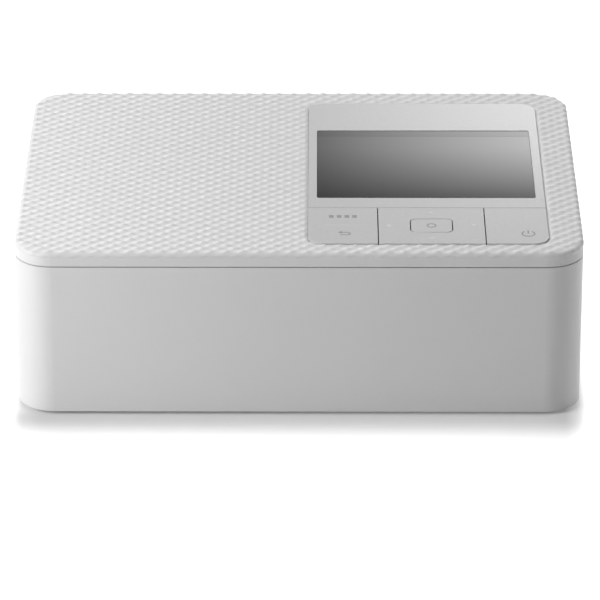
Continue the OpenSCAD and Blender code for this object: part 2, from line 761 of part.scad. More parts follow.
// Places of the screws that hold the display's tray and the key frame to the cover.
function tray_screws() = [for (x = ear_x, y = [window_cy - 24, window_cy + 25]) [x, y]];
function key_frame_screws() = [for (x = ear_x, y = [key_cy - 10, key_cy + 12]) [x, y]];
function panel_screws() = concat(tray_screws(), key_frame_screws());

// Tray that holds the display up against the cover's ledge.
module lcd_frame() {
    tray_z = lcd_z - lcd_pan_t;
    color(steel) difference() {
        union() {
            translate([panel_cx, lcd_cy, tray_z]) linear_extrude(ledge_z - tray_z) difference() {
                square([lcd_w + 3, lcd_d + 1.6], center = true);
                square([lcd_w + 0.2, lcd_d + 0.2], center = true);
            }
            translate([panel_cx, lcd_cy, tray_z]) linear_extrude(lcd_pan_t)
                square([lcd_w + 3, lcd_d + 1.6], center = true);
            for (p = tray_screws()) translate([p.x, p.y, ledge_z - 1]) {
                cylinder(h = 1, r = 2.2);
                translate([p.x < panel_cx ? 0 : -3, -2.2, 0]) cube([3, 4.4, 1]);
            }
        }
        for (k = [-1, 0, 1]) translate([panel_cx + 22 * k, lcd_cy, tray_z - 1]) linear_extrude(lcd_pan_t + 2)
            rounded_rect(16, lcd_d - 20, 3);
        block([panel_cx - lcd_w / 2 - 2, window_cy - 8.5, ledge_z - 2.6], [panel_cx - lcd_w / 2 - 0.05, window_cy + 8.5, ledge_z - 1.4]);
        for (p = tray_screws()) translate([p.x, p.y, ledge_z - 3]) cylinder(h = 6, r = screw_hole_r, $fn = 24);
    }
}

// Flat cable from the display to the main board.
module display_cable() {
    color([0.75, 0.5, 0.2])
        block([board_x1 - 4, window_cy - 8, ledge_z - 2.15], [panel_cx - lcd_w / 2, window_cy + 8, ledge_z - 1.85]);
}

// Opening of the key frame under one key.
module frame_opening(x0, x1) {
    block([x0, key_cy - 11.3, key_frame_z - 1], [x1, key_cy + 11.7, ledge_z + 1]);
}

// Pair of bearings for pivot pins along X, on the key frame.
module saddles(x0, x1) {
    for (x = [x0, x1]) difference() {
        block([x, key_cy - 1.2, key_frame_z + 0.1], [x + 1.4, key_cy + 1.2, saddle_top]);
        rod_x(x - 1, x + 3, [key_cy, pivot_z], key_pin_r + play);
    }
}

module key_frame() {
    frame_back_y = key_y1 + 3.2;
    color([0.3, 0.3, 0.32]) difference() {
        union() {
            difference() {
                block([panel_x0 - tab_out, panel_y0 - 1.6, key_frame_z], [panel_x1 + tab_out, frame_back_y, ledge_z]);
                frame_opening(panel_x0 + 3.4, nav_x0 - 2);
                frame_opening(nav_cx - ring_w / 2 - 0.4, nav_cx + ring_w / 2 + 0.4);
            }
            // Guide of the OK key's stem, under the ring.
            block([nav_cx - ring_w / 2 - 0.6, key_cy - 2.7, key_frame_z], [nav_cx + ring_w / 2 + 0.6, key_cy + 2.7, key_frame_z + 0.6]);
            saddles(panel_x0 + 2, nav_x0 - 2.3);
            saddles(nav_cx - ring_w / 2 - 1.9, nav_cx + ring_w / 2 + 0.5);
            // Posts that carry the key board.
            for (x = [-1, 1], y = [-12.4, 13]) translate([panel_cx + x * (key_board_x / 2 - 3), key_cy + y, key_board_top])
                cylinder(h = key_frame_z - key_board_top + 0.1, r = 1.7);
        }
        for (x = [nav_cx, power_cx]) translate([x, key_cy, key_frame_z - 1]) cylinder(h = 3, r = stem_r + play);
        for (side = [-1, 1]) translate([nav_cx + side * nav_switch_x, key_cy, key_frame_z - 1]) cylinder(h = 3, r = 1.8);
        // Room for the cover's front right tower and its corner.
        translate([tower_x, tower_front, key_frame_z - 1]) cylinder(h = 3, r = tower_r);
        translate([panel_x1 + tab_out, panel_y0 - 1.6, key_frame_z]) rotate(45) cube([3, 3, 5], center = true);
        for (x = [-1, 1], y = [-12.4, 13]) translate([panel_cx + x * (key_board_x / 2 - 3), key_cy + y, key_board_top - 1])
            cylinder(h = 3, r = screw_hole_r, $fn = 24);
        for (p = key_frame_screws()) translate([p.x, p.y, key_frame_z - 1]) cylinder(h = 3, r = screw_hole_r, $fn = 24);
    }
}

module key_board() {
    color(board_green) difference() {
        translate([panel_cx, key_cy + 0.3, key_board_top - key_board_t])
            linear_extrude(key_board_t) rounded_rect(key_board_x, key_row_d + 1.2, 1);
        for (x = [-1, 1], y = [-12.4, 13]) translate([panel_cx + x * (key_board_x / 2 - 3), key_cy + y, key_board_top - 3])
            cylinder(h = 6, r = screw_hole_r, $fn = 24);
    }
}

// Places of the switches under the keys.
function switches() = [
    [menu_cx, key_cy + menu_switch], [menu_cx, key_cy - menu_switch],
    [nav_cx - nav_switch_x, key_cy], [nav_cx + nav_switch_x, key_cy],
    [nav_cx, key_cy - nav_switch_y], [nav_cx, key_cy + nav_switch_y],
    [nav_cx, key_cy], [power_cx, key_cy]
];

module key_switches() {
    color([0.2, 0.2, 0.22]) for (p = switches()) translate([p.x, p.y, key_board_top]) {
        translate([0, 0, switch_h / 2]) cube([4.5, 4.5, switch_h], center = true);
        cylinder(h = switch_h + 0.5, r = 1, $fn = 24);
    }
}

// Cap of one key: a stretch of the panel's outline.
module key_cap(x0, x1) {
    translate([0, 0, cap_z]) linear_extrude(key_t) intersection() {
        translate([panel_cx, panel_cy]) panel_outline(0);
        translate([x0, panel_y0]) square([x1 - x0, key_row_d]);
    }
}

module key_post(x, y, z, r) {
    translate([x, y, z]) cylinder(h = cap_z - z + 0.1, r = r, $fn = 24);
}

module menu_back_key() {
    x0 = panel_x0 + 2;
    x1 = nav_x0 - 2.3;
    color(panel_grey) {
        key_cap(panel_x0, nav_x0 - key_gap);
        for (y = [-1, 1]) key_post(menu_cx, key_cy + y * menu_switch, switch_top + 0.3, 1.2);
        for (x = [x0 + 1.7, x1 - 1.8]) block([x, key_cy - 1.2, pivot_z - 0.7], [x + 1.5, key_cy + 1.2, cap_z + 0.1]);
        rod_x(x0 + 0.2, x0 + 2, [key_cy, pivot_z], key_pin_r);
        rod_x(x1 - 0.6, x1 + 1.2, [key_cy, pivot_z], key_pin_r);
    }
}

// Ring that lets the four-way key tip both ways.
module nav_carrier() {
    bar = ring_bar;
    color([0.3, 0.3, 0.32]) difference() {
        union() {
            translate([nav_cx, key_cy, pivot_z - ring_t / 2]) linear_extrude(ring_t) difference() {
                square([ring_w, ring_d], center = true);
                square([ring_w - 2 * bar, ring_d - 2 * bar], center = true);
            }
            for (side = [-1, 1])
                rod_x(nav_cx + side * (ring_w / 2 - 0.1), nav_cx + side * (ring_w / 2 + 1.7), [key_cy, pivot_z], key_pin_r);
        }
        translate([nav_cx, key_cy, pivot_z]) rotate([90, 0, 0])
            cylinder(h = ring_d + 2, r = key_pin_r + play, center = true);
    }
}

module nav_key() {
    lug_y = ring_d / 2 - ring_bar - 0.2;
    color(panel_grey) {
        difference() {
            key_cap(nav_x0, nav_x1);
            translate([nav_cx, key_cy, cap_z - 1]) linear_extrude(key_t + 2)
                rounded_rect(ok_w + 2 * key_gap, ok_d + 2 * key_gap, 2.2);
        }
        for (side = [-1, 1]) {
            key_post(nav_cx + side * nav_switch_x, key_cy, switch_top + 0.35, 1.2);
            translate([nav_cx, key_cy + side * (lug_y - 0.6), pivot_z + 0.45])
                cube([2.4, 1.2, 2 * (cap_z - pivot_z - 0.4)], center = true);
            translate([nav_cx, key_cy + side * (lug_y + 0.5), pivot_z])
                rotate([90, 0, 0]) cylinder(h = 1.6, r = key_pin_r, center = true);
        }
    }
}

// Cap that slides straight down, on a hollow stem round its switch.
module sliding_stem(x) {
    difference() {
        key_post(x, key_cy, switch_top - 0.05, stem_r);
        translate([x, key_cy, switch_top - 1]) cylinder(h = 1.5, r = 1.3);
    }
}

module ok_key() {
    color(panel_grey) {
        translate([nav_cx, key_cy, cap_z]) linear_extrude(key_t) rounded_rect(ok_w, ok_d, 1.85);
        sliding_stem(nav_cx);
    }
}

module power_key() {
    color(panel_grey) {
        key_cap(nav_x1 + key_gap, panel_x1);
        sliding_stem(power_cx);
    }
}

// ---- Chassis ----

// Outline in Y and Z that both side plates share.
module plate_outline() {
    difference() {
        translate([plate_front, floor_z]) square([plate_back - plate_front, chassis_top - floor_z]);
        translate([plate_front, chassis_top]) rotate(45) square(16, center = true);
        translate([plate_front + 17, floor_z + 12]) circle(6);
    }
}

// Bores for the rollers, the cam shaft and the pins of the thermal head.
module plate_bores() {
    for (p = [platen_p, grip_p, pickup_p]) translate(p) circle(bush_r);
    translate(cam_p) circle(cam_shaft_r + play);
    translate([platen_y - head_pin_r - play, head_pin_z - head_lift - head_pin_r - 0.15])
        square([2 * (head_pin_r + play), head_lift + 2 * head_pin_r + 0.3]);
}

// Flange on the floor and tab over the pinch spring, bent inward from x toward the middle.
module plate_tabs(x, way) {
    block([min(x, x + way * flange_w), plate_front, floor_z], [max(x, x + way * flange_w), plate_back, floor_z + plate_t]);
    tab_z = pinch_p.y + 6.9;
    block([min(x, x + way * 7), grip_y - 3.5, tab_z], [max(x, x + way * 7), grip_y + 3.5, tab_z + plate_t]);
}

module left_side_plate() {
    color(steel) difference() {
        union() {
            along_x(left_out, left_in) difference() {
                plate_outline();
                plate_bores();
                translate(takeup_p) circle(shaft_r + play);
            }
            plate_tabs(left_in, 1);
        }
        chassis_screw_holes();
    }
}

module right_side_plate() {
    gap = 0.6;
    color(steel) difference() {
        union() {
            along_x(right_in, right_out) difference() {
                plate_outline();
                plate_bores();
                // The ink cassette slides in through here, round the tongue that holds the head.
                for (p = [takeup_p, supply_p]) translate(p) circle(tube_r + gap);
                translate([takeup_p.x, web_z0 - gap]) square([2 * tube_out, web_z1 - web_z0 + gap + 0.3]);
            }
            plate_tabs(right_in, -1);
        }
        chassis_screw_holes();
    }
}

// Angle bars that join the side plates in front and behind.
module cross_bars() {
    t = plate_t;
    color(steel) {
        block([left_in, plate_front + 9, chassis_top - t], [right_in, plate_front + 12.8, chassis_top]);
        block([left_in, plate_front + 9, chassis_top - 9], [right_in, plate_front + 9 + t, chassis_top]);
        block([left_in, plate_back - 3.4, chassis_top - t], [right_in, plate_back, chassis_top]);
        block([left_in, plate_back - t, chassis_top - 13], [right_in, plate_back, chassis_top]);
    }
}

module plate_studs() {
    outer_end = motor_plate_in + 1;
    color(steel) {
        rod_x(left_out, outer_end, reduction_p, stud_r);
        rod_x(left_out, gear_x - gear_w - 0.5, grip_idler_p, stud_r);
        rod_x(left_out, gear_x - gear_w - 0.5, pickup_idler_p, stud_r);
        rod_x(left_in, cassette_x0 + 4, supply_p, 2 - play);
    }
}

module paper_guide() {
    top = paper_z - 1;
    x0 = left_in + seat_gap;
    x1 = right_in - seat_gap;
    color([0.25, 0.25, 0.27]) {
        difference() {
            block([x0, grip_y + 7, top - 1.2], [x1, plate_back + 0.2, top]);
            block([path_x - paper_w / 2 - 4, platen_y - 7.2, top - 2], [path_x + paper_w / 2 + 4, platen_y + 7.2, top + 1]);
            both_ends() block([plate_span / 2 - plate_t / 2 - 1.2, platen_y - 6.5, top - 2],
                              [plate_span / 2, platen_y + 6.5, top + 1]);
        }
        // Low ribs that the paper slides on.
        for (k = [-4:4]) {
            block([path_x + 12 * k - 0.5, platen_y + 8, top - 0.1], [path_x + 12 * k + 0.5, plate_back, top + 0.6]);
            block([path_x + 12 * k - 0.5, grip_y + 7.4, top - 0.1], [path_x + 12 * k + 0.5, platen_y - 8, top + 0.6]);
        }
        // Saddles that the cassette rests on, outside the paper's width.
        both_ends() for (p = [takeup_p, supply_p])
            block([paper_w / 2 + 4, p.x - 3, top - 0.1], [paper_w / 2 + 10, p.x + 3, p.y - tube_r - 0.2]);
        // Skirts against the side plates.
        for (x = [x0, x1 - 1.2]) block([x, platen_y + 8, top - 8], [x + 1.2, plate_back, top - 1]);
    }
}

module roller_bushes() {
    flange = 0.8;
    color([0.35, 0.3, 0.22]) for (p = [platen_p, grip_p, pickup_p]) both_ends() difference() {
        x0 = plate_span / 2 - plate_t / 2 - flange;
        union() {
            rod_x(x0, x0 + flange, p, bush_r + 1);
            rod_x(x0, x0 + flange + plate_t, p, bush_r);
        }
        rod_x(x0 - 1, x0 + 4, p, shaft_r + play);
    }
}

// Shaft that runs in both bushes and carries a gear beyond the left plate.
module geared_shaft(p) {
    rod_x(left_out - 0.5, right_out + 1, p, shaft_r);
    rod_x(gear_x - gear_w - 0.4, left_out, p, gear_shaft_r);
}

module platen_shaft() {
    color(steel) geared_shaft(platen_p);
}

module platen_sleeve() {
    color(rubber_black) difference() {
        rod_x(path_x - paper_w / 2 - 2, path_x + paper_w / 2 + 2, platen_p, platen_r);
        rod_x(path_x - paper_w, path_x + paper_w, platen_p, shaft_r);
    }
}

module platen_gear() {
    color(gear_white) gear(platen_n, platen_p, platen_turn, gear_x, gear_w, gear_shaft_r);
}

module grip_roller() {
    color(steel) {
        geared_shaft(grip_p);
        rod_x(path_x - paper_w / 2, path_x + paper_w / 2, grip_p, grip_r);
    }
}

module grip_gear() {
    color(gear_white) gear(grip_n, grip_p, grip_turn, gear_x, gear_w, gear_shaft_r);
}

module pinch_roller() {
    color(rubber_black) {
        rod_x(path_x - paper_w / 2 + 2, path_x + paper_w / 2 - 2, pinch_p, pinch_r);
        rod_x(path_x - paper_w / 2 - 9, path_x + paper_w / 2 + 9, pinch_p, stud_r);
    }
}

module pinch_blocks() {
    color(gear_white) both_ends() difference() {
        block([plate_span / 2 - plate_t / 2 - 6.4, grip_y - 3, pinch_p.y - 2.9], [plate_span / 2 - plate_t / 2, grip_y + 3, pinch_p.y + 2.9]);
        rod_x(0, plate_span / 2 - plate_t / 2 - 2, pinch_p, stud_r + play);
    }
}

// Points of one ring of a coil's wire.
function coil_ring(a, r, rise, wire, sides) =
    [for (k = [0:sides - 1]) let (b = 360 / sides * k, d = r + wire * cos(b))
        [d * cos(a), d * sin(a), rise * a / 360 + wire * sin(b)]];

// Compression springs between the pinch blocks and the tabs of the side plates.
module pinch_springs() {
    turns = 5;
    wire = 0.22;
    sides = 6;
    steps = 12;
    z0 = pinch_p.y + 2.9 + wire + 0.02;
    rise = (3.6 - 2 * wire) / turns;
    points = [for (i = [0:turns * steps]) each coil_ring(360 / steps * i, 1.6, rise, wire, sides)];
    count = turns * steps;
    color(steel) both_ends() translate([plate_span / 2 - plate_t / 2 - 3.4, grip_y, z0])
        polyhedron(points, concat(
            [[for (k = [0:sides - 1]) k], [for (k = [sides - 1:-1:0]) count * sides + k]],
            [for (i = [0:count - 1], k = [0:sides - 1]) let (n = (k + 1) % sides)
                each [[i * sides + k, (i + 1) * sides + k, (i + 1) * sides + n],
                      [i * sides + k, (i + 1) * sides + n, i * sides + n]]]));
}

module pickup_shaft() {
    color(steel) geared_shaft(pickup_p);
}

module pickup_tyres() {
    color(rubber_black) both_ends() difference() {
        rod_x(22 - pickup_tyre_w / 2, 22 + pickup_tyre_w / 2, pickup_p, pickup_r);
        rod_x(0, 50, pickup_p, shaft_r);
    }
}

module pickup_gear() {
    color(gear_white) gear(pickup_n, pickup_p, pickup_turn, gear_x, gear_w, gear_shaft_r);
}

// ---- Drives ----

motors = [[feed_p, 110], [ribbon_p, 45], [head_motor_p, 45]];
function ear_holes() = [for (m = motors, side = [-1, 1]) m[0] + side * motor_ear * unit(m[1])];

module motor_plate() {
    color(steel) {
        difference() {
            along_x(motor_plate_out, motor_plate_in) difference() {
                translate([motor_plate_y[0], motor_plate_z[0]])
                    square([motor_plate_y[1] - motor_plate_y[0], motor_plate_z[1] - motor_plate_z[0]]);
                translate([motor_plate_y[0] - 1, motor_plate_z[0] - 1]) square([26, 14]);
                for (m = motors) translate(m[0]) circle(3.1);
                for (p = ear_holes()) translate(p) circle(screw_hole_r);
            }
            for (p = standoffs) rod_x(motor_plate_out - 1, motor_plate_in + 1, p, screw_hole_r);
        }
        for (p = standoffs) difference() {
            rod_x(motor_plate_in, left_out, p, standoff_r);
            rod_x(motor_plate_out - 1, left_out + 1, p, screw_hole_r);
        }
    }
}

// Stepper motor with two ears, its shaft side against the motor plate.
module stepper(p, turn) {
    x0 = motor_plate_out;
    difference() {
        union() {
            rod_x(x0 - motor_l, x0, p, motor_r);
            rod_x(x0, x0 + motor_plate_t - 0.1, p, 3);
            along_x(x0 - motor_ear_t, x0) translate(p) rotate(turn) {
                square([2 * motor_ear, 2 * motor_ear_r], center = true);
                for (side = [-1, 1]) translate([side * motor_ear, 0]) circle(motor_ear_r);
            }
        }
        rod_x(x0 - 6, x0 + 4, p, 0.75 + play);
        for (side = [-1, 1]) rod_x(x0 - 3, x0 + 1, p + side * motor_ear * unit(turn), screw_hole_r);
    }
}

module stepper_motors() {
    color([0.6, 0.61, 0.63]) for (m = motors) stepper(m[0], m[1]);
}

module motor_pinion(p) {
    gear(pinion_n, p, 0, gear_x - 0.2, gear_x - 0.2 - (outer_gear_x - gear_w), 0.75);
    rod_x(gear_x - 0.2, motor_plate_out - 5, p, 0.75);
}

module feed_pinion() {
    color([0.75, 0.62, 0.3]) motor_pinion(feed_p);
}

module ribbon_pinion() {
    color([0.75, 0.62, 0.3]) motor_pinion(ribbon_p);
}

module head_pinion() {
    color([0.75, 0.62, 0.3]) motor_pinion(head_motor_p);
}

module reduction_gear() {
    color(gear_white) {
        gear(reduction_small_n, reduction_p, 0, gear_x, gear_w + 0.2, stud_r + play);
        gear(reduction_n, reduction_p, reduction_turn, outer_gear_x, gear_w, stud_r + play);
    }
}

module grip_idler() {
    color(gear_white) gear(grip_idler_n, grip_idler_p, grip_idler_turn, gear_x, gear_w, stud_r + play);
}

module pickup_idler() {
    color(gear_white) gear(pickup_idler_n, pickup_idler_p, pickup_idler_turn, gear_x, gear_w, stud_r + play);
}

// Gear with the spindle that drives the take-up spool.
module takeup_gear() {
    color(gear_white) {
        gear(takeup_n, takeup_p, takeup_turn, gear_x, gear_w, 0.01);
        rod_x(gear_x - gear_w, cassette_x0 - 0.3, takeup_p, shaft_r);
        rod_x(cassette_x0 - 1, cassette_x0 + 4, takeup_p, 2);
    }
}

// ---- Ink cassette ----

// Spool with a hollow left journal; the roll of ribbon is wound on its core.
module spool(p, roll_r) {
    difference() {
        union() {
            rod_x(cassette_x0, cassette_x1, p, shaft_r);
            rod_x(cassette_x0 + tube_wall + 0.3, cassette_x1 - tube_wall - 0.3, p, core_r);
            rod_x(path_x - paper_w / 2, path_x + paper_w / 2, p, roll_r);
        }
        rod_x(cassette_x0 - 1, cassette_x0 + 4.2, p, 2);
    }
}

module takeup_spool() {
    color([0.15, 0.13, 0.2]) spool(takeup_p, takeup_roll_r);
}

module supply_spool() {
    color([0.15, 0.13, 0.2]) spool(supply_p, supply_roll_r);
}

// Point where a line from p touches a circle.
function touch(p, c, r, side) =
    let (d = norm(c - p), a = atan2(c.y - p.y, c.x - p.x) + side * asin(r / d))
    p + sqrt(d * d - r * r) * unit(a);

module strip(p, q) {
    translate(p) rotate(atan2(q.y - p.y, q.x - p.x)) translate([0, -film_t / 2]) square([norm(q - p), film_t]);
}

module ink_ribbon() {
    front = [platen_y - film_fold, film_z + film_t / 2];
    back = [platen_y + film_fold, film_z + film_t / 2];
    color([0.75, 0.65, 0.1]) along_x(path_x - paper_w / 2, path_x + paper_w / 2) {
        strip(front - [0.03, 0], back + [0.03, 0]);
        strip(back, touch(back, supply_p, supply_roll_r + 0.3, -1));
        strip(front, touch(front, takeup_p, takeup_roll_r + 0.3, 1));
    }
}

module ink_cassette() {
    color([0.32, 0.33, 0.36]) {
        difference() {
            union() {
                for (p = [takeup_p, supply_p]) rod_x(cassette_x0, cassette_x1, p, tube_r);
                for (x = [cassette_x0, cassette_x1 - tube_wall])
                    block([x, takeup_p.x, web_z0], [x + tube_wall, supply_p.x, web_z1]);
            }
            for (p = [takeup_p, supply_p]) {
                rod_x(cassette_x0 + tube_wall, cassette_x1 - tube_wall, p, tube_r - tube_wall);
                rod_x(cassette_x0 - 1, cassette_x1 + 1, p, shaft_r + play);
            }
            // Slots that the ribbon runs through.
            for (side = [-1, 1])
                block([cassette_x0 + 6, platen_y + side * (tube_out - 3.5) - 2.6, web_z0],
                      [cassette_x1 - 6, platen_y + side * (tube_out - 3.5) + 2.6, web_z1 + 2.6]);
        }
    }
}

// ---- Thermal head ----

module thermal_head() {
    color([0.85, 0.83, 0.78]) {
        block([path_x - head_l / 2, platen_y - 5, head_z + glaze], [path_x + head_l / 2, platen_y + 5, sink_z]);
        // Glazed bar over the heating line.
        intersection() {
            rod_x(path_x - head_l / 2 + 2, path_x + head_l / 2 - 2, [platen_y, head_z + 2], 2);
            block([path_x - head_l, platen_y - 2, head_z - 1], [path_x + head_l, platen_y + 2, head_z + glaze + 0.1]);
        }
    }
}

module head_heat_sink() {
    fins = 5;
    fin_t = 1.1;
    pitch = (sink_w - fin_t) / (fins - 1);
    color(steel) {
        block([path_x - head_l / 2, platen_y - sink_w / 2, sink_z], [path_x + head_l / 2, platen_y + sink_w / 2, sink_z + sink_base]);
        for (k = [0:fins - 1])
            block([path_x - head_l / 2, platen_y - sink_w / 2 + k * pitch, sink_z + sink_base - 0.1],
                  [path_x + head_l / 2, platen_y - sink_w / 2 + k * pitch + fin_t, sink_top]);
    }
}

module head_carrier() {
    y0 = platen_y - sink_w / 2;
    y1 = platen_y + sink_w / 2;
    t = carrier_t;
    color([0.55, 0.56, 0.58]) {
        block([path_x - head_l / 2 - t, y1, sink_z], [path_x + head_l / 2 + t, y1 + t, carrier_top]);
        both_ends() {
            block([head_l / 2, y0, sink_z], [head_l / 2 + t, y1 + 0.1, carrier_top]);
            block([carrier_end - t, y0, web_z1 + head_lift + 0.4], [carrier_end, y1 + 0.1, carrier_top]);
            block([head_l / 2, y0, sink_top], [carrier_end, y1 + 0.1, carrier_top]);
            rod_x(carrier_end - 0.1, plate_span / 2 + plate_t / 2, [platen_y, head_pin_z], head_pin_r);
        }
    }
}

// Radius of a cam that presses by a steady rise over half a turn, then drops back.
function cam_radius(a) =
    a <= 180 ? cam_r + head_lift * a / 180 :
    a <= 200 ? cam_r + head_lift :
    a <= 300 ? cam_r + head_lift * (300 - a) / 100 : cam_r;

module cam_shaft() {
    step = 7.5;
    color(steel) {
        rod_x(gear_x - gear_w, right_out + 1, cam_p, cam_shaft_r);
        both_ends() along_x(cam_out, cam_out + cam_w) translate(cam_p)
            polygon([for (a = [0:step:359]) cam_radius(360 - (a == 0 ? 360 : a)) * unit(a - 90)]);
    }
}

module cam_gear() {
    color(gear_white) gear(cam_n, cam_p, cam_turn, gear_x, gear_w, cam_shaft_r);
}

// ---- Electrics ----

fan_x = -inner_w + seat_gap;
fan_p = [fan_y, fan_z];
fan_hub_r = 5.5;

module fan_housing() {
    color(rubber_black) {
        along_x(fan_x, fan_x + fan_t) difference() {
            translate(fan_p) square(fan_size, center = true);
            translate(fan_p) circle(fan_size / 2 - 0.9);
            for (y = [-1, 1], z = [-1, 1]) translate(fan_p + (fan_size / 2 - 2) * [y, z]) circle(screw_hole_r);
        }
        // Struts and the seat of the rotor, on the inner side.
        along_x(fan_x + fan_t - 1.2, fan_x + fan_t) translate(fan_p) {
            circle(fan_hub_r);
            for (k = [0:2]) rotate(120 * k + 90) translate([0, -0.8]) square([fan_size / 2 - 0.5, 1.6]);
        }
        rod_x(fan_x + 2, fan_x + fan_t - 1, fan_p, 0.8);
    }
}

module fan_rotor() {
    blades = 7;
    color([0.2, 0.2, 0.2]) difference() {
        union() {
            rod_x(fan_x + 0.8, fan_x + fan_t - 1.6, fan_p, fan_hub_r);
            for (k = [0:blades - 1]) translate([fan_x + fan_t / 2 - 0.4, fan_p.x, fan_p.y])
                rotate([360 / blades * k, 0, 0]) rotate([0, 0, 38])
                    translate([-3, -0.4, fan_hub_r - 1]) cube([6, 0.8, fan_size / 2 - fan_hub_r - 1]);
        }
        rod_x(fan_x, fan_x + fan_t, fan_p, 0.8 + play);
    }
}

module main_board() {
    color(board_green) translate([0, 0, board_z]) difference() {
        linear_extrude(board_t) difference() {
            translate([board_x0, board_y0]) square([board_x1 - board_x0, board_y1 - board_y0]);
            translate([board_x0 - 1, tower_back - tower_r - 0.6]) square([1 + tower_r - board_x0 - tower_x + 0.8, 40]);
        }
        for (p = board_bosses) translate([p.x, p.y, -1]) cylinder(h = board_t + 2, r = screw_hole_r, $fn = 24);
    }
}

// Chips and sockets on the main board, with the ports under its edges and the power inlet.
module connectors() {
    color([0.12, 0.12, 0.13]) {
        translate([-40, 4, board_top + 0.6]) cube([16, 16, 1.2], center = true);
        translate([-40, 26, board_top + 0.5]) cube([12, 9, 1.0], center = true);
        for (k = [0:2]) translate([-66 + 9 * k, 40, board_top + 1.4]) cube([6.4, 6.4, 2.8], center = true);
        for (k = [0:2]) translate([-18 + 7 * k, 44, board_top]) cylinder(h = 2.8, r = 2.6);
        block([board_x1 - 8, window_cy - 9, board_top], [board_x1 - 4, window_cy + 9, ledge_z - 1.2]);
    }
    color(steel) {
        // Memory card slot.
        difference() {
            block([card_x, card_y - card_w / 2, board_z - card_h], [card_x + card_l, card_y + card_w / 2, board_z]);
            block([card_x - 1, card_y - card_w / 2 + 1.7, board_z - card_h + 0.5],
                  [card_x + card_l - 1, card_y + card_w / 2 - 1.7, board_z - 0.5]);
        }
        // Port for a memory stick.
        difference() {
            block([-half_w + 0.4, usb_y - usb_w / 2, board_z - usb_h], [-half_w + 0.4 + usb_l, usb_y + usb_w / 2, board_z]);
            block([-half_w, usb_y - usb_w / 2 + 0.4, board_z - usb_h + 0.5],
                  [-half_w + usb_l - 2, usb_y + usb_w / 2 - 0.4, board_z - 0.5]);
        }
        block([-half_w + 3, usb_y - usb_w / 2 + 1.5, board_z - 2.6], [-half_w + usb_l - 1, usb_y + usb_w / 2 - 1.5, board_z - 1.2]);
        // Small port in the back.
        translate([usb_c_x, board_y1 - 4, board_z - usb_c_h / 2]) rotate([-90, 0, 0]) linear_extrude(half_d - board_y1 + 3.6)
            difference() {
                rounded_rect(usb_c_w, usb_c_h, usb_c_h / 2 - 0.01);
                rounded_rect(usb_c_w - 0.8, usb_c_h - 0.8, usb_c_h / 2 - 0.41);
            }
        translate([usb_c_x, board_y1 - 4, board_z - usb_c_h / 2]) cube([usb_c_w - 2, 1, usb_c_h - 0.5], center = true);
    }
    color([0.12, 0.12, 0.13]) {
        // Power inlet: a round well with its pin.
        difference() {
            block([inlet_x - inlet_size / 2, inner_d - 12, inlet_z - inlet_size / 2],
                  [inlet_x + inlet_size / 2, inner_d - 0.1, inlet_z + inlet_size / 2]);
            translate([inlet_x, inner_d - 9, inlet_z]) rotate([-90, 0, 0]) cylinder(h = 10, r = inlet_r);
        }
        translate([inlet_x, inner_d - 10, inlet_z]) rotate([-90, 0, 0]) cylinder(h = 9, r = 0.8);
    }
}

module inner_screws() {
    color(steel) {
        for (p = board_bosses) screw(p.x, p.y, board_z, board_t + 2.6, true);
        for (p = tray_screws()) screw(p.x, p.y, ledge_z - 1, 3, true);
        for (p = key_frame_screws()) screw(p.x, p.y, key_frame_z, 3, true);
        for (x = [-1, 1], y = [-12.4, 13])
            screw(panel_cx + x * (key_board_x / 2 - 3), key_cy + y, key_board_top - key_board_t, 2.4, true);
        for (p = flange_screws()) screw(p.x, p.y, floor_z + plate_t, 2.4, false);
        for (p = ear_holes()) {
            rod_x(motor_plate_out - motor_ear_t - 0.8, motor_plate_out - motor_ear_t, p, screw_head_r);
            rod_x(motor_plate_out - motor_ear_t, motor_plate_in, p, screw_r);
        }
        for (p = standoffs) {
            rod_x(motor_plate_out - 0.8, motor_plate_out, p, screw_head_r);
            rod_x(motor_plate_out, motor_plate_in + 4, p, screw_r);
        }
    }
}

bottom_case();
top_cover();
front_door();
front_frame();
ink_door();
operation_panel();
lcd_window();
lcd_module();
lcd_frame();
display_cable();
key_frame();
key_board();
key_switches();
menu_back_key();
nav_carrier();
nav_key();
ok_key();
power_key();
rubber_feet();
case_screws();
inner_screws();
left_side_plate();
right_side_plate();
cross_bars();
plate_studs();
paper_guide();
roller_bushes();
platen_shaft();
platen_sleeve();
platen_gear();
grip_roller();
grip_gear();
pinch_roller();
pinch_blocks();
pinch_springs();
pickup_shaft();
pickup_tyres();
pickup_gear();
motor_plate();
stepper_motors();
feed_pinion();
reduction_gear();
grip_idler();
pickup_idler();
ribbon_pinion();
takeup_gear();
takeup_spool();
supply_spool();
ink_ribbon();
ink_cassette();
thermal_head();
head_heat_sink();
head_carrier();
cam_shaft();
cam_gear();
head_pinion();
fan_housing();
fan_rotor();
main_board();
connectors();
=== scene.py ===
import math

import bmesh
import bpy
from mathutils import Matrix, Vector


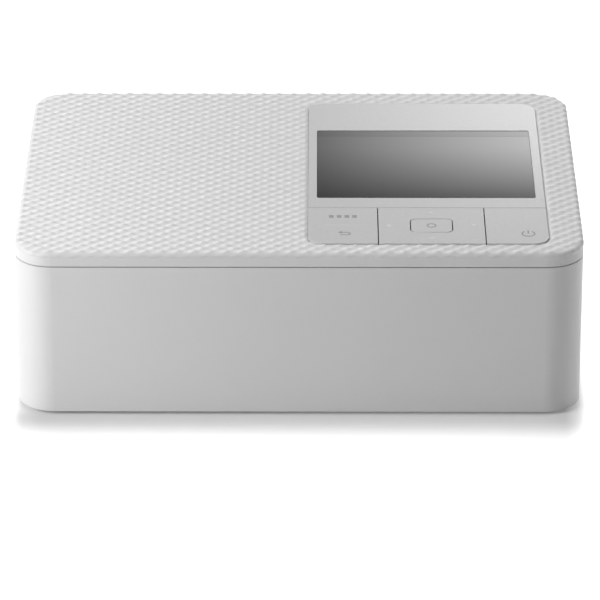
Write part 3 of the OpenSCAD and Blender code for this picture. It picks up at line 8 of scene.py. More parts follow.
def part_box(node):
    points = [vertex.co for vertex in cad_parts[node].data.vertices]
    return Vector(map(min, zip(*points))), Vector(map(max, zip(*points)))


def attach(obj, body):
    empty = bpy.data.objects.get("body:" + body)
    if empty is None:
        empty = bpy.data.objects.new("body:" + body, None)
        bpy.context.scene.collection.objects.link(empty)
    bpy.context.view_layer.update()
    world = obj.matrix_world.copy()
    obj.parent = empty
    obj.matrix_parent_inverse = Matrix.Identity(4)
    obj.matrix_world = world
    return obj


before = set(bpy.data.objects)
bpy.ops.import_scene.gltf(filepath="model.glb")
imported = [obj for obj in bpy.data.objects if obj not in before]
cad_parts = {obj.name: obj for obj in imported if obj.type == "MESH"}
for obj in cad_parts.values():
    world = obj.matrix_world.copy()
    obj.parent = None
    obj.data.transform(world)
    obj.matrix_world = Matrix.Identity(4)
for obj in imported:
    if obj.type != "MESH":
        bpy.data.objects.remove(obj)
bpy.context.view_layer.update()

bl_info = {
    "name": "Compact Photo Printer",
    "version": (1, 0, 0),
    "blender": (4, 5, 0),
    "location": "View3D > Sidebar > Printer",
    "description": "Finishes, textured cover, key signs and studio of a compact photo printer",
    "category": "Object",
}

MM = 0.001
RUNNING_BODY = "casing"


# ---- Helpers ----

def linear(code):
    """An sRGB hex colour as linear RGBA."""
    def channel(value):
        value /= 255
        return value / 12.92 if value <= 0.04045 else ((value + 0.055) / 1.055) ** 2.4
    return tuple(channel(int(code[i:i + 2], 16)) for i in (1, 3, 5)) + (1.0,)


def add_node(tree, kind, links=(), **settings):
    """Adds a node, sets its properties and inputs, and links (input, output) pairs.
    A setting whose name starts with in_ and a number is the value of that input."""
    node = tree.nodes.new(kind)
    for name, value in settings.items():
        if name.startswith("in_"):
            node.inputs[int(name[3:])].default_value = value
        else:
            setattr(node, name, value)
    for target, output in links:
        tree.links.new(output, node.inputs[target])
    return node


def new_finish(name, **shader):
    """Material with an empty Principled shader: (material, tree, shader, object coordinates)."""
    material = bpy.data.materials.new(name)
    material.use_nodes = True
    tree = material.node_tree
    bsdf = tree.nodes["Principled BSDF"]
    for key, value in shader.items():
        bsdf.inputs[key.replace("_", " ")].default_value = value
    place = add_node(tree, "ShaderNodeTexCoord").outputs["Object"]
    return material, tree, bsdf, place


def bump(tree, bsdf, height, depth_mm, strength):
    """Bump of a depth in millimetres on the shader's normal."""
    node = add_node(tree, "ShaderNodeBump", [("Height", height)],
                    in_0=strength, in_1=depth_mm * MM)
    tree.links.new(node.outputs["Normal"], bsdf.inputs["Normal"])


def tint(tree, bsdf, factor, dark, light):
    """Base colour that runs between two hex colours."""
    ramp = add_node(tree, "ShaderNodeMix", [("Factor", factor)], data_type="RGBA")
    ramp.inputs[6].default_value = linear(dark)
    ramp.inputs[7].default_value = linear(light)
    tree.links.new(ramp.outputs[2], bsdf.inputs["Base Color"])


def stretched(tree, place, scale):
    """Object coordinates scaled along each axis, for grain that has a direction."""
    return add_node(tree, "ShaderNodeMapping", [("Vector", place)], in_3=scale).outputs["Vector"]


def noise(tree, place, size_mm, detail=2.0, rough=0.5):
    """Noise whose features measure about size_mm."""
    return add_node(tree, "ShaderNodeTexNoise", [("Vector", place)],
                    in_2=1 / (size_mm * MM), in_3=detail, in_4=rough).outputs["Fac"]


def remap(tree, value, low, high, to_low=0.0, to_high=1.0):
    """Runs evenly from to_low to to_high while the value goes from low to high."""
    return add_node(tree, "ShaderNodeMapRange", [("Value", value)],
                    in_1=low, in_2=high, in_3=to_low, in_4=to_high).outputs["Result"]


def maths(tree, operation, first, second=0.0):
    """Result of one Math node; the second input is an output to link or a number."""
    if isinstance(second, float):
        return add_node(tree, "ShaderNodeMath", [(0, first)],
                        operation=operation, in_1=second).outputs[0]
    return add_node(tree, "ShaderNodeMath", [(0, first), (1, second)],
                    operation=operation).outputs[0]


def vary_roughness(tree, bsdf, pattern, low, high):
    """Roughness between two values, by the middle of a noise pattern."""
    tree.links.new(remap(tree, pattern, 0.3, 0.7, low, high), bsdf.inputs["Roughness"])


def cells(tree, place, size_mm, output, **settings):
    """Voronoi cells whose size is about size_mm."""
    return add_node(tree, "ShaderNodeTexVoronoi", [("Vector", place)],
                    in_2=1 / (size_mm * MM), **settings).outputs[output]


def stripes(tree, place, axis, pitch_mm):
    """Sine bands across an axis; Blender's wave texture has 20 of them to its unit scale."""
    return add_node(tree, "ShaderNodeTexWave", [("Vector", place)], bands_direction=axis,
                    in_1=1 / (pitch_mm * MM) / 20).outputs["Fac"]


def mesh_piece(name, build, finish, body=RUNNING_BODY):
    """Object from a bmesh that build fills, riding on a body."""
    mesh = bpy.data.meshes.new(name)
    bm = bmesh.new()
    build(bm)
    bmesh.ops.recalc_face_normals(bm, faces=bm.faces)
    bm.to_mesh(mesh)
    bm.free()
    piece = bpy.data.objects.new(name, mesh)
    bpy.context.scene.collection.objects.link(piece)
    mesh.materials.append(finish)
    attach(piece, body)


# ---- Finishes ----

def moulded_abs(name, light, dark, grain_mm=0.35, depth_mm=0.02, roughness=0.42):
    """ABS moulded against a spark-eroded tool: a fine even grain breaks up the gloss,
    and the colour hardly varies. The real grain of 0.05 mm is drawn coarser to show."""
    material, tree, bsdf, place = new_finish(name, IOR=1.53, Roughness=roughness)
    grain = noise(tree, place, grain_mm, 3.0, 0.6)
    cloud = noise(tree, place, 45.0, 2.0)
    tint(tree, bsdf, cloud, dark, light)
    vary_roughness(tree, bsdf, grain, roughness - 0.05, roughness + 0.06)
    bump(tree, bsdf, grain, depth_mm, 0.6)
    return material


def lacquered_panel(name, light, dark):
    """Polycarbonate with a pale pearl lacquer: satin under a thin clear gloss, with
    flakes too fine to see singly that lighten it in patches of a fraction of a millimetre."""
    material, tree, bsdf, place = new_finish(
        name, IOR=1.55, Roughness=0.30, Coat_Weight=0.35, Coat_Roughness=0.12)
    flakes = cells(tree, place, 0.4, "Color")
    spread = add_node(tree, "ShaderNodeSeparateColor", [("Color", flakes)]).outputs["Red"]
    tint(tree, bsdf, spread, dark, light)
    bump(tree, bsdf, noise(tree, place, 6.0, 2.0), 0.01, 0.2)
    return material


def smoked_acrylic(name, coat=0.5):
    """Cast acrylic, tinted nearly black and hard-coated: a clear mirror of the room,
    with a trace of orange peel that softens the edges of what it reflects."""
    material, tree, bsdf, place = new_finish(
        name, IOR=1.49, Roughness=0.06, Coat_Weight=coat, Coat_Roughness=0.03)
    tint(tree, bsdf, noise(tree, place, 30.0, 1.0), "#131416", "#191A1C")
    bump(tree, bsdf, noise(tree, place, 9.0, 1.0), 0.01, 0.15)
    return material


def rolled_steel(name, light="#A6A8AB", dark="#8E9094", along=(1, 40, 1), roughness=0.34):
    """Zinc-plated sheet steel, rolled: faint streaks 0.2 mm apart along the sheet."""
    material, tree, bsdf, place = new_finish(name, Metallic=1.0, Roughness=roughness)
    streaks = noise(tree, stretched(tree, place, along), 9.0, 4.0, 0.65)
    spangle = cells(tree, place, 3.0, "Distance")
    tint(tree, bsdf, spangle, light, dark)
    vary_roughness(tree, bsdf, streaks, roughness - 0.08, roughness + 0.1)
    bump(tree, bsdf, streaks, 0.006, 0.4)
    return material


def ground_steel(name):
    """Bar steel, centreless ground: rings round the axis every few tenths of a
    millimetre, which draw a thin bright line along each shaft."""
    material, tree, bsdf, place = new_finish(name, Metallic=1.0, Roughness=0.2)
    rings = noise(tree, stretched(tree, place, (30, 1, 1)), 9.0, 3.0)
    tint(tree, bsdf, rings, "#9C9EA2", "#B9BBBF")
    vary_roughness(tree, bsdf, rings, 0.16, 0.3)
    bump(tree, bsdf, rings, 0.004, 0.4)
    return material


def extruded_aluminium(name):
    """Aluminium extrusion, clear anodised: die lines along its length, soft sheen."""
    material, tree, bsdf, place = new_finish(name, Metallic=1.0, Roughness=0.38)
    lines = noise(tree, stretched(tree, place, (1, 60, 60)), 12.0, 3.0)
    tint(tree, bsdf, lines, "#B4B6B9", "#CFD0D2")
    bump(tree, bsdf, lines, 0.006, 0.4)
    return material


def turned_brass(name):
    """Free-cutting brass from the lathe: warm yellow with fine turning marks."""
    material, tree, bsdf, place = new_finish(name, Metallic=1.0, Roughness=0.24)
    marks = noise(tree, stretched(tree, place, (50, 1, 1)), 8.0, 2.0)
    tint(tree, bsdf, marks, "#A98345", "#C9A560")
    bump(tree, bsdf, marks, 0.004, 0.4)
    return material


def natural_acetal(name):
    """Unfilled acetal, as moulded: milky, waxy and a little translucent at the teeth."""
    material, tree, bsdf, place = new_finish(
        name, IOR=1.48, Roughness=0.33, Subsurface_Weight=0.15, Subsurface_Scale=0.002)
    tint(tree, bsdf, noise(tree, place, 5.0, 2.0), "#DEDBD0", "#ECEAE1")
    bump(tree, bsdf, noise(tree, place, 0.5, 2.0), 0.01, 0.3)
    return material


def moulded_rubber(name, light="#2A2A2B", dark="#1E1E1F"):
    """Vulcanised rubber, ground or moulded: dead matt, with dust in its pores."""
    material, tree, bsdf, place = new_finish(name, IOR=1.52, Roughness=0.78)
    pores = noise(tree, place, 0.4, 3.0, 0.7)
    tint(tree, bsdf, pores, dark, light)
    bump(tree, bsdf, pores, 0.04, 0.6)
    return material


def solder_mask(name):
    """Glass-fibre board under green solder mask: tracks 0.5 mm wide show as lighter
    ridges on a grid of 1.6 mm, broken where no track runs."""
    material, tree, bsdf, place = new_finish(name, IOR=1.5, Roughness=0.32)
    tracks = []
    for axis, channel in (("X", "Red"), ("Y", "Green")):
        band = remap(tree, stripes(tree, place, axis, 1.6), 0.86, 0.9)
        flat = stretched(tree, place, (1, 1, 0))
        blocks = cells(tree, flat, 11.0, "Color", distance="CHEBYCHEV")
        pick = add_node(tree, "ShaderNodeSeparateColor", [("Color", blocks)]).outputs[channel]
        tracks.append(maths(tree, "MULTIPLY", band, remap(tree, pick, 0.45, 0.5)))
    track = maths(tree, "MAXIMUM", *tracks)
    tint(tree, bsdf, track, "#123F24", "#2C6E41")
    bump(tree, bsdf, track, 0.03, 0.6)
    return material


def moulded_epoxy(name):
    """Filled epoxy of chips and sockets: matt black with a fine grey fleck."""
    material, tree, bsdf, place = new_finish(name, IOR=1.55, Roughness=0.5)
    fleck = noise(tree, place, 0.3, 2.0, 0.8)
    tint(tree, bsdf, fleck, "#1B1B1D", "#2B2B2E")
    bump(tree, bsdf, fleck, 0.01, 0.4)
    return material


def dye_film(name):
    """Polyester film with a yellow dye panel: smooth, with shallow tension wrinkles."""
    material, tree, bsdf, place = new_finish(name, IOR=1.6, Roughness=0.14)
    wrinkle = noise(tree, stretched(tree, place, (4, 1, 1)), 30.0, 2.0)
    tint(tree, bsdf, wrinkle, "#C9A31D", "#D9B637")
    bump(tree, bsdf, wrinkle, 0.05, 0.4)
    return material


def glazed_alumina(name):
    """Alumina with a fired glaze: cream white and glassy over a fine grain."""
    material, tree, bsdf, place = new_finish(name, IOR=1.6, Roughness=0.12)
    tint(tree, bsdf, noise(tree, place, 0.6, 2.0), "#D8D3C4", "#E6E2D6")
    bump(tree, bsdf, noise(tree, place, 4.0, 1.0), 0.01, 0.2)
    return material


def copper_polyimide(name):
    """Polyimide foil over copper tracks 0.5 mm apart: amber, with darker lines."""
    material, tree, bsdf, place = new_finish(name, IOR=1.7, Roughness=0.25)
    lines = stripes(tree, place, "Y", 1.0)
    tint(tree, bsdf, lines, "#8A5320", "#B87A35")
    bump(tree, bsdf, lines, 0.02, 0.5)
    return material


def sign_ink_and_highlight(name, light, dark):
    """Pad-printed ink on the keys, flat colour with slightly uneven cover; the paler one is no ink
    on the direction signs but a painted highlight, and it also draws the divider paler than the
    key.
    """
    material, tree, bsdf, place = new_finish(name, IOR=1.5, Roughness=0.45)
    tint(tree, bsdf, noise(tree, place, 0.25, 2.0, 0.7), dark, light)
    bump(tree, bsdf, noise(tree, place, 0.3, 2.0), 0.004, 0.3)
    return material


FINISHES = {}


def make_finishes(colours):
    """Every finish of the printer, once."""
    FINISHES.update({
        "white_abs": moulded_abs("white ABS, spark-eroded grain",
                                 colours.shell, colours.shell_dark),
        "panel": lacquered_panel("pearl lacquer on polycarbonate",
                                 colours.panel, colours.panel_dark),
        "display": smoked_acrylic("smoked acrylic window"),
        # Painted shade: the display's acrylic with less coat, darker, for the strip at the back of
        # the display.
        "display_painted_shade": smoked_acrylic("smoked acrylic, less coat, painted shade", 0.34),
        "grey_abs": moulded_abs("light grey ABS frame", "#B9BBBD", "#B2B4B6"),
        "dark_abs": moulded_abs("black glass-filled ABS",
                                "#2C2C2E", "#252527", 0.5, 0.03, 0.5),
        "cassette_abs": moulded_abs("blue-black ABS cassette",
                                    "#3A3D43", "#33363B", 0.5, 0.03, 0.45),
        "sheet": rolled_steel("zinc-plated sheet steel"),
        "screw": rolled_steel("nickel-plated screw steel",
                              "#B7B9BC", "#A2A4A8", (1, 1, 20), 0.26),
        "bar": ground_steel("ground bar steel"),
        "aluminium": extruded_aluminium("anodised aluminium extrusion"),
        "brass": turned_brass("turned brass"),
        "acetal": natural_acetal("natural acetal"),
        "rubber": moulded_rubber("black moulded rubber"),
        "board": solder_mask("green solder mask"),
        "epoxy": moulded_epoxy("black moulded epoxy"),
        "film": dye_film("dye film"),
        "ceramic": glazed_alumina("glazed alumina"),
        "flat_cable": copper_polyimide("copper on polyimide"),
        "grey_ink": sign_ink_and_highlight("grey pad print", colours.sign, colours.sign_dark),
        # Paler than the keys: on the direction signs, which are the key's own colour, it is a
        # painted highlight.
        "pale_sign_finish": sign_ink_and_highlight("pale embossed sign", "#E9EAEC", "#DFE0E3"),
    })


def wear(finish, *nodes):
    """Gives CAD nodes a finish, in every slot that they have."""
    for name in nodes:
        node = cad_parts[name]
        if not node.material_slots:
            node.data.materials.append(FINISHES[finish])
        for place in node.material_slots:
            place.material = FINISHES[finish]


def soften(width_mm, *nodes):
    """Small round on the sharp edges of CAD nodes, which catches light as moulded edges do."""
    for name in nodes:
        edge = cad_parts[name].modifiers.new("moulded edge", "BEVEL")
        edge.width = width_mm * MM
        edge.segments = 3
        edge.limit_method = "ANGLE"
        edge.angle_limit = math.radians(40)
        edge.use_clamp_overlap = True
        edge.harden_normals = True


# ---- Sizes and colours ----

class PrinterColours(bpy.types.PropertyGroup):
    shell: bpy.props.StringProperty(
        name="Shell", default="#E9E9E9",
        description="Colour of the white casing, sRGB hex")
    shell_dark: bpy.props.StringProperty(
        name="Shell, darker", default="#E6E6E6",
        description="Darker end of the casing's slight variation")
    panel: bpy.props.StringProperty(
        name="Panel", default="#DDDDDE",
        description="Colour of the operation panel and keys")
    panel_dark: bpy.props.StringProperty(
        name="Panel, darker", default="#D7D7D8",
        description="Darker end of the panel's slight variation")
    sign: bpy.props.StringProperty(
        name="Signs", default="#9FA0A3",
        description="Colour of the printed key signs")
    sign_dark: bpy.props.StringProperty(
        name="Signs, darker", default="#949598",
        description="Darker end of the signs' slight variation")


class PrinterSizes(bpy.types.PropertyGroup):
    bump_x: bpy.props.FloatProperty(
        name="Bump pitch across", description="Distance between bumps of the textured top along X",
        default=5.15 * MM, min=2 * MM, max=12 * MM, unit="LENGTH", precision=5)
    bump_y: bpy.props.FloatProperty(
        name="Bump pitch back", description="Distance between every second row of bumps along Y",
        default=4.48 * MM, min=2 * MM, max=12 * MM, unit="LENGTH", precision=5)
    bump_height: bpy.props.FloatProperty(
        name="Bump height", description="Height of the bumps above the valleys between them",
        default=0.44 * MM, min=0.05 * MM, max=1 * MM, unit="LENGTH", precision=5)
    corner: bpy.props.FloatProperty(
        name="Corner radius", description="Radius of the cover's upright corners in plan",
        default=12 * MM, min=5 * MM, max=30 * MM, unit="LENGTH", precision=4)
    edge: bpy.props.FloatProperty(
        name="Edge radius", description="Radius of the cover's top edge, which the skin follows",
        default=1.3 * MM, min=0.2 * MM, max=4 * MM, unit="LENGTH", precision=5)
    panel_corner: bpy.props.FloatProperty(
        name="Panel corner radius", description="Radius of the panel's corners",
        default=5.2 * MM, min=1 * MM, max=15 * MM, unit="LENGTH", precision=5)


# ---- Pieces ----

def outline_distance(x, y, half_x, half_y, radius):
    """Distance inward from a rounded rectangle about the origin, and the way out."""
    qx, qy = abs(x) - (half_x - radius), abs(y) - (half_y - radius)
    if qx > 0 and qy > 0:
        length = math.hypot(qx, qy)
        inward, out = radius - length, (qx / length, qy / length)
    elif qx > qy:
        inward, out = radius - qx, (1.0, 0.0)
    else:
        inward, out = radius - qy, (0.0, 1.0)
    return inward, (math.copysign(out[0], x), math.copysign(out[1], y))


# Mesh steps to one pitch of the bumps, across and back.
STEPS_X, STEPS_Y = 12, 10
# Power of the wave that narrows the crests of the bumps.
CREST_POWER = 2.0
# Height of the valleys above the cover, and depth of the skin's own edges under it.
SKIN_LIFT, SKIN_SUNK = 0.25 * MM, 0.06 * MM
# Lengths over which the bumps fade towards the panel and down the cover's round edge.
PANEL_FADE, EDGE_FADE = 0.8 * MM, 1.1 * MM
# How far the skin runs on below the round edge.
SKIN_DOWN = 0.1 * MM
# Gap between the skin's opening and the panel.
PANEL_GAP = 0.1 * MM
# How far the hidden rim of the skin is turned into the cover.
RIM_TURN = 0.4 * MM
# What lies nearer than this to the cover's outline is the outer rim, not the opening's.
OUTER_ZONE = 3 * MM


def build_textured_top(bm, sizes):
    """Closed skin of soft bumps in staggered rows, over the cover and round the panel."""
    low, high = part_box("top_cover")
    half_x, half_y = (high[0] - low[0]) / 2, (high[1] - low[1]) / 2
    top = high[2]
    panel_low, panel_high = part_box("operation_panel")
    key_low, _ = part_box("menu_back_key")
    hole_x0, hole_x1 = panel_low[0], panel_high[0]
    hole_y0, hole_y1 = key_low[1], panel_high[1]
    hole_x, hole_y = (hole_x0 + hole_x1) / 2, (hole_y0 + hole_y1) / 2
    hole_half = ((hole_x1 - hole_x0) / 2 + PANEL_GAP, (hole_y1 - hole_y0) / 2 + PANEL_GAP)
    edge = sizes.edge
    last = edge - edge * math.pi / 2 - SKIN_DOWN
    step_x, step_y = sizes.bump_x / STEPS_X, sizes.bump_y / STEPS_Y
    count_x, count_y = int((half_x - last) / step_x) + 2, int((half_y - last) / step_y) + 2
    reach = 0.75 * max(step_x, step_y)

    def measure(x, y):
        """Distance in from the cover's outline and out from the opening, each with its way."""
        outer, out = outline_distance(x, y, half_x, half_y, sizes.corner)
        inner, inner_out = outline_distance(x - hole_x, y - hole_y, *hole_half,
                                            sizes.panel_corner)
        return outer, out, -inner, inner_out

    def wrapped(x, y, outer, out, inner):
        """Place of a point of the flat pattern once it is laid over the cover's edge."""
        wave = (math.cos(2 * math.pi * x / sizes.bump_x)
                * math.cos(2 * math.pi * y / sizes.bump_y))
        crest = sizes.bump_height * (0.5 + 0.5 * wave) ** CREST_POWER
        fade = min(1.0, (outer - last) / EDGE_FADE) * min(1.0, max(0.0, inner / PANEL_FADE))
        rise = fade * (crest + SKIN_SUNK + SKIN_LIFT) - SKIN_SUNK
        past = max(0.0, edge - outer)
        angle = min(past / edge, math.pi / 2)
        drop = past - edge * angle + edge * (1 - math.cos(angle))
        shift = (edge + rise) * math.sin(angle) - past
        return x + out[0] * shift, y + out[1] * shift, top - drop + rise * math.cos(angle)

    keys = [(i, j) for i in range(-count_x, count_x + 1) for j in range(-count_y, count_y + 1)]
    grid = {}
    for i, j in keys:
        x, y = i * step_x, j * step_y
        outer, out, inner, inner_out = measure(x, y)
        if outer < last - reach or inner < -reach:
            continue
        if outer < last:
            x, y = x - out[0] * (last - outer), y - out[1] * (last - outer)
            outer = last
        elif inner < 0:
            x, y = x - inner * inner_out[0], y - inner * inner_out[1]
            inner = 0.0
        grid[i, j] = bm.verts.new(wrapped(x, y, outer, out, inner))
    # Each cell with three or four corners in the skin gets a face, those with their own first.
    for i, j in list(grid) + [key for key in keys if key not in grid]:
        ring = ((i, j), (i + 1, j), (i + 1, j + 1), (i, j + 1))
        corners = [grid[key] for key in ring if key in grid]
        if len(corners) > 2:
            bm.faces.new(corners)
    bmesh.ops.delete(bm, geom=[v for v in bm.verts if not v.link_faces], context="VERTS")
    for face in bm.faces:
        face.smooth = True
    rim = [e for e in bm.edges if e.is_boundary]
    grown = bmesh.ops.extrude_edge_only(bm, edges=rim)["geom"]
    for vertex in (g for g in grown if isinstance(g, bmesh.types.BMVert)):
        outer, out = measure(*vertex.co.xy)[:2]
        if outer < OUTER_ZONE:
            vertex.co.x -= out[0] * RIM_TURN
            vertex.co.y -= out[1] * RIM_TURN
        else:
            vertex.co.z = top - RIM_TURN
    bmesh.ops.triangle_fill(bm, use_beauty=False,
                            edges=[e for e in bm.edges if e.is_boundary])


def flat_sign(bm, outline, place, top, thick=0.05 * MM):
    """Thin raised sign from a closed outline in millimetres about a place, on a surface."""
    ring = [bm.verts.new((place[0] + x * MM, place[1] + y * MM, top - thick))
            for x, y in outline]
    face = bm.faces.new(ring)
    grown = bmesh.ops.extrude_face_region(bm, geom=[face])["geom"]
    for vertex in (g for g in grown if isinstance(g, bmesh.types.BMVert)):
        vertex.co.z = top + thick


def plate(bm, low, high, edge):
    """Box between two corners, with small chamfers round its upper face."""
    (x0, y0, z0), (x1, y1, z1) = low, high
    rings = []
    for inset, z in ((0, z0), (0, z1 - edge), (edge, z1)):
        left, right, front, back = x0 + inset, x1 - inset, y0 + inset, y1 - inset
        corners = ((left, front), (right, front), (right, back), (left, back))
        rings.append([bm.verts.new((x, y, z)) for x, y in corners])
    for lower, upper in zip(rings, rings[1:]):
        for k in range(4):
            bm.faces.new((lower[k], lower[(k + 1) % 4], upper[(k + 1) % 4], upper[k]))
    bm.faces.new(rings[0])
    bm.faces.new(rings[-1])


def box_outline(x, y, w, d):
    """Outline of a rectangle about its middle."""
    return [(x + side * w / 2, y + end * d / 2)
            for side, end in ((-1, -1), (1, -1), (1, 1), (-1, 1))]


def arc_band(radius, width, start, end, steps=28):
    """Outline of a band along an arc, between two angles in degrees."""
    angles = [math.radians(start + (end - start) * k / steps) for k in range(steps + 1)]
    outer, inner = radius + width / 2, radius - width / 2
    return ([(outer * math.cos(a), outer * math.sin(a)) for a in angles]
            + [(inner * math.cos(a), inner * math.sin(a)) for a in reversed(angles)])


class PRINTER_OT_finishes(bpy.types.Operator):
    """Make the finishes of all pieces"""
    bl_idname = "printer.finishes"
    bl_label = "Finishes"

    def execute(self, context):
        make_finishes(context.scene.printer_colours)
        return {"FINISHED"}


class PRINTER_OT_casing(bpy.types.Operator):
    """Dress the casing, its doors, feet and screws"""
    bl_idname = "printer.casing"
    bl_label = "Casing"

    def execute(self, context):
        wear("white_abs", "bottom_case", "top_cover", "front_door", "ink_door")
        wear("grey_abs", "front_frame")
        wear("rubber", "rubber_feet")
        wear("screw", "case_screws", "inner_screws")
        return {"FINISHED"}


class PRINTER_OT_textured_top(bpy.types.Operator):
    """Lay the skin of soft bumps over the cover"""
    bl_idname = "printer.textured_top"
    bl_label = "Textured top"

    def execute(self, context):
        sizes = context.scene.printer_sizes
        mesh_piece("textured_top", lambda bm: build_textured_top(bm, sizes),
                   FINISHES["white_abs"])
        return {"FINISHED"}


class PRINTER_OT_panel(bpy.types.Operator):
    """Dress the operation panel, its display and keys"""
    bl_idname = "printer.panel"
    bl_label = "Operation panel"

    def execute(self, context):
        keys = ("menu_back_key", "nav_key", "ok_key", "power_key")
        wear("panel", "operation_panel", *keys)
        soften(0.18, "operation_panel", *keys)
        wear("display", "lcd_window")
        self.display_glass()
        wear("dark_abs", "lcd_module", "key_frame", "nav_carrier")
        wear("sheet", "lcd_frame")
        wear("flat_cable", "display_cable")
        wear("board", "key_board")
        wear("epoxy", "key_switches")
        return {"FINISHED"}

    def display_glass(self):
        """Fills the panel's opening nearly flush, with a darker strip along its back edge: the
        same acrylic with less coat, which paints the shade of the recess there.
        """
        low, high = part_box("lcd_window")
        below_panel, hidden_x, hidden_y, shade_strip = 0.15 * MM, 1.0 * MM, 1.25 * MM, 4.6 * MM
        under, top = high[2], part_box("operation_panel")[1][2] - below_panel
        x0, x1 = low[0] + hidden_x, high[0] - hidden_x
        y0, y1 = low[1] + hidden_y, high[1] - hidden_y
        split = y1 - shade_strip
        mesh_piece("display_glass",
                   lambda bm: plate(bm, (x0, y0, under), (x1, split, top), 0.1 * MM),
                   FINISHES["display"])
        # Painted shade: the strip along the back edge, in the less coated acrylic.
        mesh_piece("display_painted_shade",
                   lambda bm: plate(bm, (x0, split, under), (x1, y1, top), 0.04 * MM),
                   FINISHES["display_painted_shade"])


class PRINTER_OT_key_signs(bpy.types.Operator):
    """Print the signs on the keys"""
    bl_idname = "printer.key_signs"
    bl_label = "Key signs"

    # Width of the printed lines in millimetres; the power sign's is LINE_POWER.
    LINE, LINE_POWER = 0.42, 0.46

    def execute(self, context):
        self.sign("menu_sign", "menu_back_key", "grey_ink", self.menu_sign)
        self.sign("back_sign", "menu_back_key", "grey_ink", self.back_sign)
        self.sign("key_divider", "menu_back_key", "pale_sign_finish", self.divider)
        # Painted highlight: the direction signs are raised in the key's own colour and drawn
        # paler.
        self.sign("direction_signs", "nav_key", "pale_sign_finish", self.direction_signs)
        self.sign("ok_sign", "ok_key", "grey_ink", self.ok_sign)
        self.sign("power_sign", "power_key", "grey_ink", self.power_sign)
        return {"FINISHED"}

    def sign(self, name, key, finish, draw):
        """Piece that rides on a key; draw gets the middle of the key's top."""
        low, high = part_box(key)
        middle, top = ((low[0] + high[0]) / 2, (low[1] + high[1]) / 2), high[2]
        mesh_piece(name, lambda bm: draw(bm, middle, top), FINISHES[finish], key)

    def menu_sign(self, bm, key, top):
        """Row of four plain squares."""
        place = (key[0] + 0.1 * MM, key[1] + 7.0 * MM)
        for k in range(4):
            flat_sign(bm, box_outline((k - 1.5) * 2.5, 0, 1.5, 2.0), place, top)

    def back_sign(self, bm, key, top):
        """Arrow that turns back."""
        place = (key[0] + 0.4 * MM, key[1] - 6.2 * MM)
        turn = arc_band(0.95, self.LINE, 90, -90)
        flat_sign(bm, [(-1.9, 0.75), (-0.75, 1.75), (-0.75, -0.25)], place, top)
        flat_sign(bm, box_outline(0.1, 0.75, 1.8, self.LINE), place, top)
        flat_sign(bm, [(x + 1.0, y - 0.2) for x, y in turn], place, top)
        flat_sign(bm, box_outline(-0.1, -1.15, 2.2, self.LINE), place, top)

    def divider(self, bm, key, top):
        """Thin line between the two halves of the key."""
        place = (key[0] + 1.0 * MM, key[1] + 0.3 * MM)
        flat_sign(bm, box_outline(0, 0, 14, 0.22), place, top, 0.02 * MM)

    def direction_signs(self, bm, key, top):
        """Triangles that point out from the middle, on all four sides."""
        for turn, reach in ((0, 13.8), (90, 9.9), (180, 13.8), (270, 9.9)):
            spin = Matrix.Rotation(math.radians(turn), 2)
            points = [spin @ Vector((reach + x, y))
                      for x, y in ((0.9, 0), (-0.6, 1.25), (-0.6, -1.25))]
            flat_sign(bm, [tuple(p) for p in points], key, top)

    def ok_sign(self, bm, key, top):
        """Ring, in two halves."""
        for start in (0, 180):
            flat_sign(bm, arc_band(1.35, 0.4, start, start + 180), key, top)

    def power_sign(self, bm, key, top):
        """Common power sign."""
        place = (key[0] + 3.5 * MM, key[1] - 6.3 * MM)
        flat_sign(bm, arc_band(2.0, self.LINE_POWER, 125, 415), place, top)
        flat_sign(bm, box_outline(0, 1.35, self.LINE_POWER, 2.3), place, top)


class PRINTER_OT_mechanism(bpy.types.Operator):
    """Dress the chassis, rollers, gears, ink cassette, head and electrics"""
    bl_idname = "printer.mechanism"
    bl_label = "Mechanism"

    def execute(self, context):
        wear("sheet", "left_side_plate", "right_side_plate", "cross_bars", "motor_plate",
             "head_carrier", "stepper_motors")
        wear("bar", "plate_studs", "platen_shaft", "grip_roller", "pickup_shaft", "cam_shaft",
             "pinch_springs")
        wear("dark_abs", "paper_guide", "roller_bushes", "fan_housing", "fan_rotor")
        wear("rubber", "platen_sleeve", "pinch_roller", "pickup_tyres")
        wear("acetal", "platen_gear", "grip_gear", "pickup_gear", "reduction_gear",
             "grip_idler", "pickup_idler", "takeup_gear", "cam_gear", "pinch_blocks")
        wear("brass", "feed_pinion", "ribbon_pinion", "head_pinion")
        wear("cassette_abs", "takeup_spool", "supply_spool", "ink_cassette")
        wear("film", "ink_ribbon")
        wear("ceramic", "thermal_head")
        wear("aluminium", "head_heat_sink")
        wear("board", "main_board")
        wear("epoxy", "connectors")
        return {"FINISHED"}


# ---- Studio ----

# Camera fitted to the outlines of the object: place in metres, and turns in degrees.
CAMERA_PLACE = (0.006544, -1.321642, 0.635131)
CAMERA_PITCH, CAMERA_YAW, CAMERA_ROLL = 25.3283, -0.2833, -0.0479
# Its focal length was fitted in pixels of the 600 px wide picture.
SENSOR_MM = 36
CAMERA_LENS_MM = SENSOR_MM * 4350.79 / 600


def camera_matrix():
    """Place and turn of the camera: it looks back, down by the pitch and aside by the yaw."""
    pitch, yaw, roll = (math.radians(a) for a in (CAMERA_PITCH, CAMERA_YAW, CAMERA_ROLL))
    forward = Vector((math.sin(yaw) * math.cos(pitch), math.cos(yaw) * math.cos(pitch),
                      -math.sin(pitch)))
    right = Vector((math.cos(yaw), -math.sin(yaw), 0))
    up = right.cross(forward)
    right, up = (right * math.cos(roll) + up * math.sin(roll),
                 up * math.cos(roll) - right * math.sin(roll))
    turn = Matrix((right, up, -forward)).transposed().to_4x4()
    return Matrix.Translation(CAMERA_PLACE) @ turn


